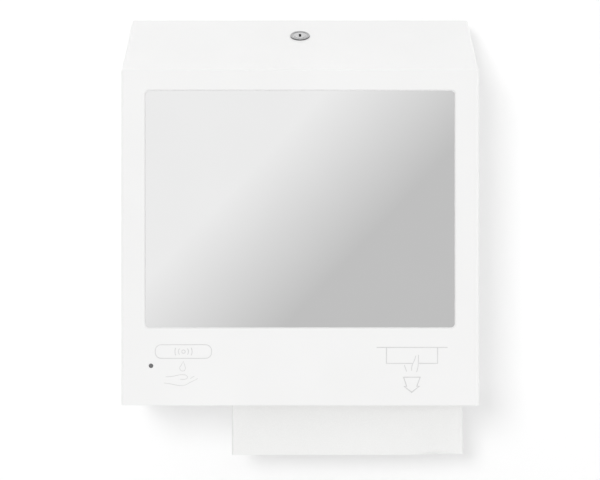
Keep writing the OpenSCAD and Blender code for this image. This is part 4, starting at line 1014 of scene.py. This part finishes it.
def makeHangingTowel():
    sheet = hangingSheet
    low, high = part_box("hanging_towel")
    width, drop = high.x - low.x, high.z - low.z
    midY = (low.y + high.y) / 2
    bm = bmesh.new()
    bmesh.ops.create_grid(bm, x_segments=sheet["across"], y_segments=sheet["down"], size=0.5)
    bmesh.ops.transform(bm, matrix=Matrix.Rotation(math.radians(90), 4, "X"), verts=bm.verts)
    for vert in bm.verts:
        u = vert.co.x + 0.5  # across from the left
        t = 1 - (vert.co.z + 0.5) ** sheet["rowEase"]  # down from the top, rows closer at the foot
        bow = sheet["bow"] * math.sin(math.radians(sheet["bowTurn"] * t))
        ripple = sheet["ripple"] * t * waveAt(u, sheet["rippleAcross"]) * waveAt(t, sheet["rippleDown"])
        # the right-hand foot lifts towards the front
        corner = easeBetween(u, sheet["cornerAcross"]) * easeBetween(t, sheet["cornerDown"])
        lip = easeBetween(u, sheet["lipStart"]) * (1 - easeBetween(u, sheet["lipEnd"]))
        lip *= easeBetween(t, sheet["lipDown"])
        y = midY + bow + ripple - corner * sheet["curl"] - lip * sheet["lip"]
        vert.co = Vector((low.x + u * width, y, high.z - t * drop + corner * sheet["lift"]))
    piece = keep(bm, "towel_sheet")
    ply = piece.modifiers.new("ply", "SOLIDIFY")
    ply.thickness = sheet["ply"]
    ply.offset = 0
    smoothFaces(piece)
    dress(piece, ["hanging_towel"], finishes["paper_white"])
    print("towel hung")


stackFold = {
    "count": 114, "slack": 0.0007, "inset": 2.4, "turn": 0.12,  # inset is a multiple of slack
    "tall": 0.96, "foldSoft": 0.42, "segments": 3,  # tall and foldSoft are shares of a towel's height
    "sharpFrom": 50, "seed": 11,
}


def makeTowelStack():
    random.seed(stackFold["seed"])
    low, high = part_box("towel_stack")
    tall = (high.z - low.z) / stackFold["count"]
    slack = stackFold["slack"]
    inset = slack * stackFold["inset"]
    size = (high.x - low.x - inset, high.y - low.y - inset, tall * stackFold["tall"])
    bm = bmesh.new()
    for i in range(stackFold["count"]):
        shift = Vector((random.uniform(-slack, slack), random.uniform(-slack, slack), 0))
        middle = Vector(((low.x + high.x) / 2, (low.y + high.y) / 2, low.z + tall * (i + 0.5))) + shift
        turn = Matrix.Rotation(math.radians(random.uniform(-1, 1) * stackFold["turn"]), 4, "Z")
        verts = addBlock(bm, size, middle, turn)
        folds = {e for v in verts for e in v.link_edges if runsAlong(e, 0)}
        bevelEdges(bm, list(folds), tall * stackFold["foldSoft"], stackFold["segments"])
    piece = keep(bm, "towel_pile")
    polish(piece, stackFold["sharpFrom"])
    dress(piece, ["towel_stack"], tissuePaper("foldedPaper", (1, 1, 0)))
    print("towels stacked:", stackFold["count"])


makeHangingTowel()
makeTowelStack()


# Status lens, board and cells

lensCap = {
    "radius": 0.0023, "dome": 0.0004, "outline": ((0, 0), (0.55, 0.2), (0.86, 0.6), (1, 1.3)),
    "flange": 0.0014, "flangeDeep": 0.0012, "arris": 0.0002, "sides": 32, "sharpFrom": 35,
}


def makeLens():
    low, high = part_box("status_lens")
    middle = (low + high) / 2
    radius, arris = lensCap["radius"], lensCap["arris"]
    shoulder, rim = high.y - lensCap["flangeDeep"], radius + lensCap["flange"]
    outline = [(radius * reach, low.y + lensCap["dome"] * deep) for reach, deep in lensCap["outline"]]
    outline += [(radius, shoulder), (rim, shoulder), (rim, high.y - arris)]
    outline += [(rim - arris, high.y), (0, high.y)]
    bm = lathe([(middle.x + r, y, middle.z) for r, y in outline], middle, (0, 1, 0), lensCap["sides"])
    piece = keep(bm, "status_lens_cap")
    polish(piece, lensCap["sharpFrom"])
    dress(piece, ["status_lens"], finishes["led_lens"])


boardParts = {"boardOver": 0.03, "chipUnder": 0.0025, "roundWithin": 0.0005, "soft": 0.00025}


def boardKind(size):  # 0 board, 1 chip, 2 plug, 3 can
    if size.x > boardParts["boardOver"]:
        return 0
    if size.y < boardParts["chipUnder"]:
        return 1
    return 3 if abs(size.x - size.z) < boardParts["roundWithin"] else 2


def makeBoard():
    bm = mergedCopy("control_board")
    kinds = {}
    for group in islands(bm):
        low, high = reachOf(group)
        for vert in group:
            kinds[vert] = boardKind(high - low)
    for face in bm.faces:
        face.material_index = kinds[face.verts[0]]
    softenEdges(bm, boardParts["soft"])
    piece = keep(bm, "control_board_soft")
    polish(piece)
    dress(piece, ["control_board"], finishes["board_green"])
    for finish in (extras["chipBlack"], extras["plugNylon"], extras["cellCap"]):
        piece.data.materials.append(finish)


cellShape = {"soft": 0.0006, "segments": 3, "capFacing": 0.7}


def makeCells():
    bm = mergedCopy("battery_cells")
    softenEdges(bm, cellShape["soft"], cellShape["segments"])
    piece = keep(bm, "battery_cells_soft")
    polish(piece)
    dress(piece, ["battery_cells"], finishes["cell_wrap"])
    piece.data.materials.append(extras["cellCap"])
    for face in piece.data.polygons:
        if abs(face.normal.x) > cellShape["capFacing"]:
            face.material_index = 1
    print("lens, board and cells made")


makeLens()
makeBoard()
makeCells()


# Small fittings: ear clamps on the hose, saddles for the cable, level marks on the tank

hoseClamps = {
    "at": (-0.120, -0.074), "heights": (0.1010, 0.0305), "inner": 0.0035, "wall": 0.0007, "wide": 0.0040,
    "ear": (0.0034, 0.0022, 0.0030), "soft": 0.0004,
}
cableSaddles = {
    "places": (-0.060, -0.010, 0.040), "height": 0.302, "plate": -0.0015, "cable": -0.008,
    "inner": 0.0015, "wall": 0.0011, "wide": 0.005, "pad": (0.013, 0.0016, 0.010), "padSoft": 0.0004,
    "neck": 0.0036, "neckSoft": 0.0003,
}
levelMarks = {
    "right": -0.097, "front": -0.112, "heights": (0.150, 0.170, 0.190, 0.210, 0.230, 0.250, 0.270),
    "wide": (0.013, 0.007), "tall": 0.0009, "thick": 0.0005, "soft": 0.00012,
}
bandSides = 40


def ringBand(middle, axis, size):
    inner, outer, half = size["inner"], size["inner"] + size["wall"], size["wide"] / 2
    section = [(inner, 0, -half), (outer, 0, -half), (outer, 0, half), (inner, 0, half)]
    bm = lathe(section, (0, 0, 0), (0, 0, 1), bandSides, closed=True)
    turn = Vector(axis).to_track_quat("Z", "Y").to_matrix().to_4x4()
    bmesh.ops.transform(bm, matrix=Matrix.Translation(middle) @ turn, verts=bm.verts)
    return bm


def softBlock(size, middle, soft):
    bm = bmesh.new()
    addBlock(bm, size, middle)
    bevelEdges(bm, bm.edges[:], soft, 2)
    return bm


def joinShapes(name, shapes, slot):
    whole = bmesh.new()
    for shape in shapes:
        mesh = bpy.data.meshes.new("shape")
        shape.to_mesh(mesh)
        shape.free()
        whole.from_mesh(mesh)
        bpy.data.meshes.remove(mesh)
    piece = keep(whole, name)
    polish(piece)
    dress(piece, [], finishes[slot], "base", slot)


def makeHoseClamps():
    shapes = []
    clampX, clampY = hoseClamps["at"]
    earOut = hoseClamps["inner"] + hoseClamps["wall"] / 2 + hoseClamps["ear"][1] / 2
    for height in hoseClamps["heights"]:
        z = lowerEdge + height
        shapes.append(ringBand((clampX, clampY, z), (0, 0, 1), hoseClamps))
        shapes.append(softBlock(hoseClamps["ear"], (clampX, clampY - earOut, z), hoseClamps["soft"]))
    joinShapes("hose_clamps", shapes, "zinc_steel")


def makeCableSaddles():
    shapes = []
    saddle = cableSaddles
    z = lowerEdge + saddle["height"]
    padDeep = saddle["pad"][1]
    padFront = saddle["plate"] - padDeep
    neckDeep = padFront - saddle["cable"] - saddle["inner"] - saddle["wall"] / 2
    neck = (saddle["wide"], neckDeep, saddle["neck"])
    for x in saddle["places"]:
        shapes.append(softBlock(saddle["pad"], (x, saddle["plate"] - padDeep / 2, z), saddle["padSoft"]))
        shapes.append(softBlock(neck, (x, padFront - neckDeep / 2, z), saddle["neckSoft"]))
        shapes.append(ringBand((x, saddle["cable"], z), (1, 0, 0), saddle))
    joinShapes("cable_saddles", shapes, "white_plastic")


def makeLevelMarks():
    shapes = []
    for i, height in enumerate(levelMarks["heights"]):
        wide = levelMarks["wide"][i % 2]
        middle = (levelMarks["right"] - wide / 2, levelMarks["front"], lowerEdge + height)
        shapes.append(softBlock((wide, levelMarks["thick"], levelMarks["tall"]), middle, levelMarks["soft"]))
    joinShapes("level_marks", shapes, "grey_plastic")


makeHoseClamps()
makeCableSaddles()
makeLevelMarks()
print("small fittings set")
